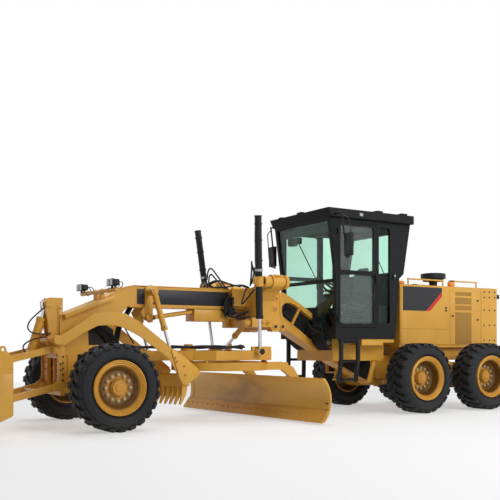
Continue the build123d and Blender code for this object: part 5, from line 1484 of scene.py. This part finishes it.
# %% [markdown]
# Under the cab, a flat black plate on the tongue's flat side stands for the deep shade of an open frame:
# there is no opening behind it. Two posts with feet stand in front of it. In front of the cab's foot the
# hoses come out of the gooseneck and reach the valve bank in loops, with plated fittings at their ends.

# %% Under the cab, and the hoses at its foot
lining = plate(
    [(-4.385, 0.820), (-4.385, 0.868), (-5.095, 0.868), (-5.095, 0.500), (-4.960, 0.545), (-4.700, 0.665)],
    "y", 0.1505, 0.002, 0,
)
pair([lining], "tongue_shadow_lining", painted_shade_black)
posts = [
    plate([(-4.880, 0.869), (-4.960, 0.869), (-4.850, 0.520), (-4.770, 0.520)], "y", 0.440, 0.040, 0.006),
    block((-4.870, 0.1505, 0.500), (-4.750, 0.480, 0.530), 0.006),
    block((-4.620, 0.1505, 0.640), (-4.560, 0.420, 0.665), 0.006),
    plate([(-4.560, 0.869), (-4.620, 0.869), (-4.620, 0.640), (-4.560, 0.640)], "y", 0.400, 0.030, 0.006),
]
pair(posts, "tongue_posts", yellow)
foot_hoses = []
for lane in range(8):
    y = 0.160 + 0.045 * lane
    foot_hoses.append(
        tube([(-3.760 + 0.004 * lane, 0.150, 1.520 - 0.03 * lane),
              (-3.765, 0.8 * y + 0.05, 1.47 - 0.02 * lane), (-3.795, y, 1.360),
              (-3.840, y + 0.02, 1.180), (-3.930, y + 0.01, 1.090), (-3.985, y, 1.060)], 0.014)
    )
for lane in range(4):
    y = 0.190 + 0.070 * lane
    foot_hoses.append(
        tube([(-3.930, y, 1.240), (-3.830, y + 0.01, 1.300), (-3.780, y + 0.03, 1.400),
              (-3.790, y + 0.06, 1.480), (-3.790, y + 0.10, 1.400), (-3.830, y + 0.11, 1.250),
              (-3.970, y + 0.10, 1.180)], 0.012)
    )
pair(foot_hoses, "cab_foot_hoses", hose_rubber)
valve_bank = block((-3.998, 0.160, 1.130), (-3.925, 0.480, 1.232), 0.006)
pair([valve_bank], "cab_foot_valve_bank", black_plastic)
fittings = []
for lane in range(5):
    y = 0.200 + 0.060 * lane
    fittings.append(bar((-3.9255, y, 1.205), (-3.880, y, 1.215), 0.016, 8, 0.002))
    fittings.append(bar((-3.9255, y, 1.155), (-3.895, y, 1.155), 0.013, 8, 0.002))
for y, z in ((0.475, 1.215), (0.500, 1.180), (0.470, 1.150)):
    fittings.append(bar((-3.960, y, z), (-3.885, y + 0.02, z + 0.02), 0.021, 8, 0.003))
pair(fittings, "cab_foot_fittings", grey_steel)
print("under the cab done")

# %% [markdown]
# The rear of the machine is closed by a grille in front of the radiator. A frame stands round the opening,
# and a row of bolts dresses the bumper.

# %% Rear grille and bumper
rear_lo, rear_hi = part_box("hood")
print("hood box", [round(v, 3) for v in rear_lo], [round(v, 3) for v in rear_hi])
GRILLE_X = -7.852
frame_parts = [
    block((GRILLE_X - 0.012, -0.45, 1.22), (GRILLE_X, -0.42, 2.08), 0.003),
    block((GRILLE_X - 0.012, 0.42, 1.22), (GRILLE_X, 0.45, 2.08), 0.003),
    block((GRILLE_X - 0.012, -0.45, 1.20), (GRILLE_X, 0.45, 1.23), 0.003),
    block((GRILLE_X - 0.012, -0.45, 2.06), (GRILLE_X, 0.45, 2.09), 0.003),
]
joined(frame_parts, "rear_grille_frame", yellow, "rear")
bumper_bolts = [(-8.0505, y, z) for y in (-0.48, -0.30, 0.30, 0.48) for z in (0.80, 1.00)]
bolts(bumper_bolts, (-1, 0, 0), "bumper_bolts", grey_steel, "rear", radius=0.016)
case_bolts = []
for number in range(10):
    x = -5.60 - 0.115 * number
    case_bolts.append((x, 0.7905, 0.68))
bolt_pair(case_bolts, "tandem_cover_bolts", yellow_deep, 0.010, "rear")
cleaner = [
    bar((-6.750, 0, 2.3705), (-6.750, 0, 2.376), 0.2330, 40, 0.002),
    bar((-6.750, 0, 2.4605), (-6.750, 0, 2.468), 0.190, 40, 0.004),
]
joined(cleaner, "precleaner_rings", black_plastic, "rear")
print("rear done")

# %% [markdown]
# The floor is one large pale sheet, not part of the object. Near the machine it takes the light and its
# soft shadow, part of it washed out as a studio's bright paper is, and from a few metres away it goes over
# into the backdrop's white, so that no horizon shows.

# %% Floor
FLOOR_NEAR, FLOOR_FAR = 6.0, 15.0
FLOOR_WASH = 0.45
clear()
bpy.ops.mesh.primitive_plane_add(size=400, location=(0, 0, 0))
floor = bpy.context.object
floor.name = "floor"
floor_material, tree, place = new_material("studio_floor")
matt = link_node(
    tree, "ShaderNodeBsdfPrincipled",
    inputs={"Base Color": linear("#F2F2F2"), "Roughness": 0.6, "Specular IOR Level": 0.2},
)
glow = link_node(tree, "ShaderNodeEmission", inputs={"Color": linear("#FDFDFD"), "Strength": 1.0})
distance = link_node(tree, "ShaderNodeVectorMath", {"operation": "LENGTH"}, {0: place}).outputs["Value"]
share = link_node(
    tree, "ShaderNodeMapRange", {"interpolation_type": "SMOOTHSTEP"},
    {"Value": distance, "From Min": FLOOR_NEAR, "From Max": FLOOR_FAR, "To Min": FLOOR_WASH, "To Max": 1.0},
).outputs[0]
seen = link_node(
    tree, "ShaderNodeMath", {"operation": "MULTIPLY"}, {0: share, 1: seen_white(tree)},
).outputs[0]
floor_mix = link_node(
    tree, "ShaderNodeMixShader", inputs={0: seen, 1: matt.outputs[0], 2: glow.outputs[0]},
)
finish_material(tree, floor_mix)
floor.data.materials.append(floor_material)
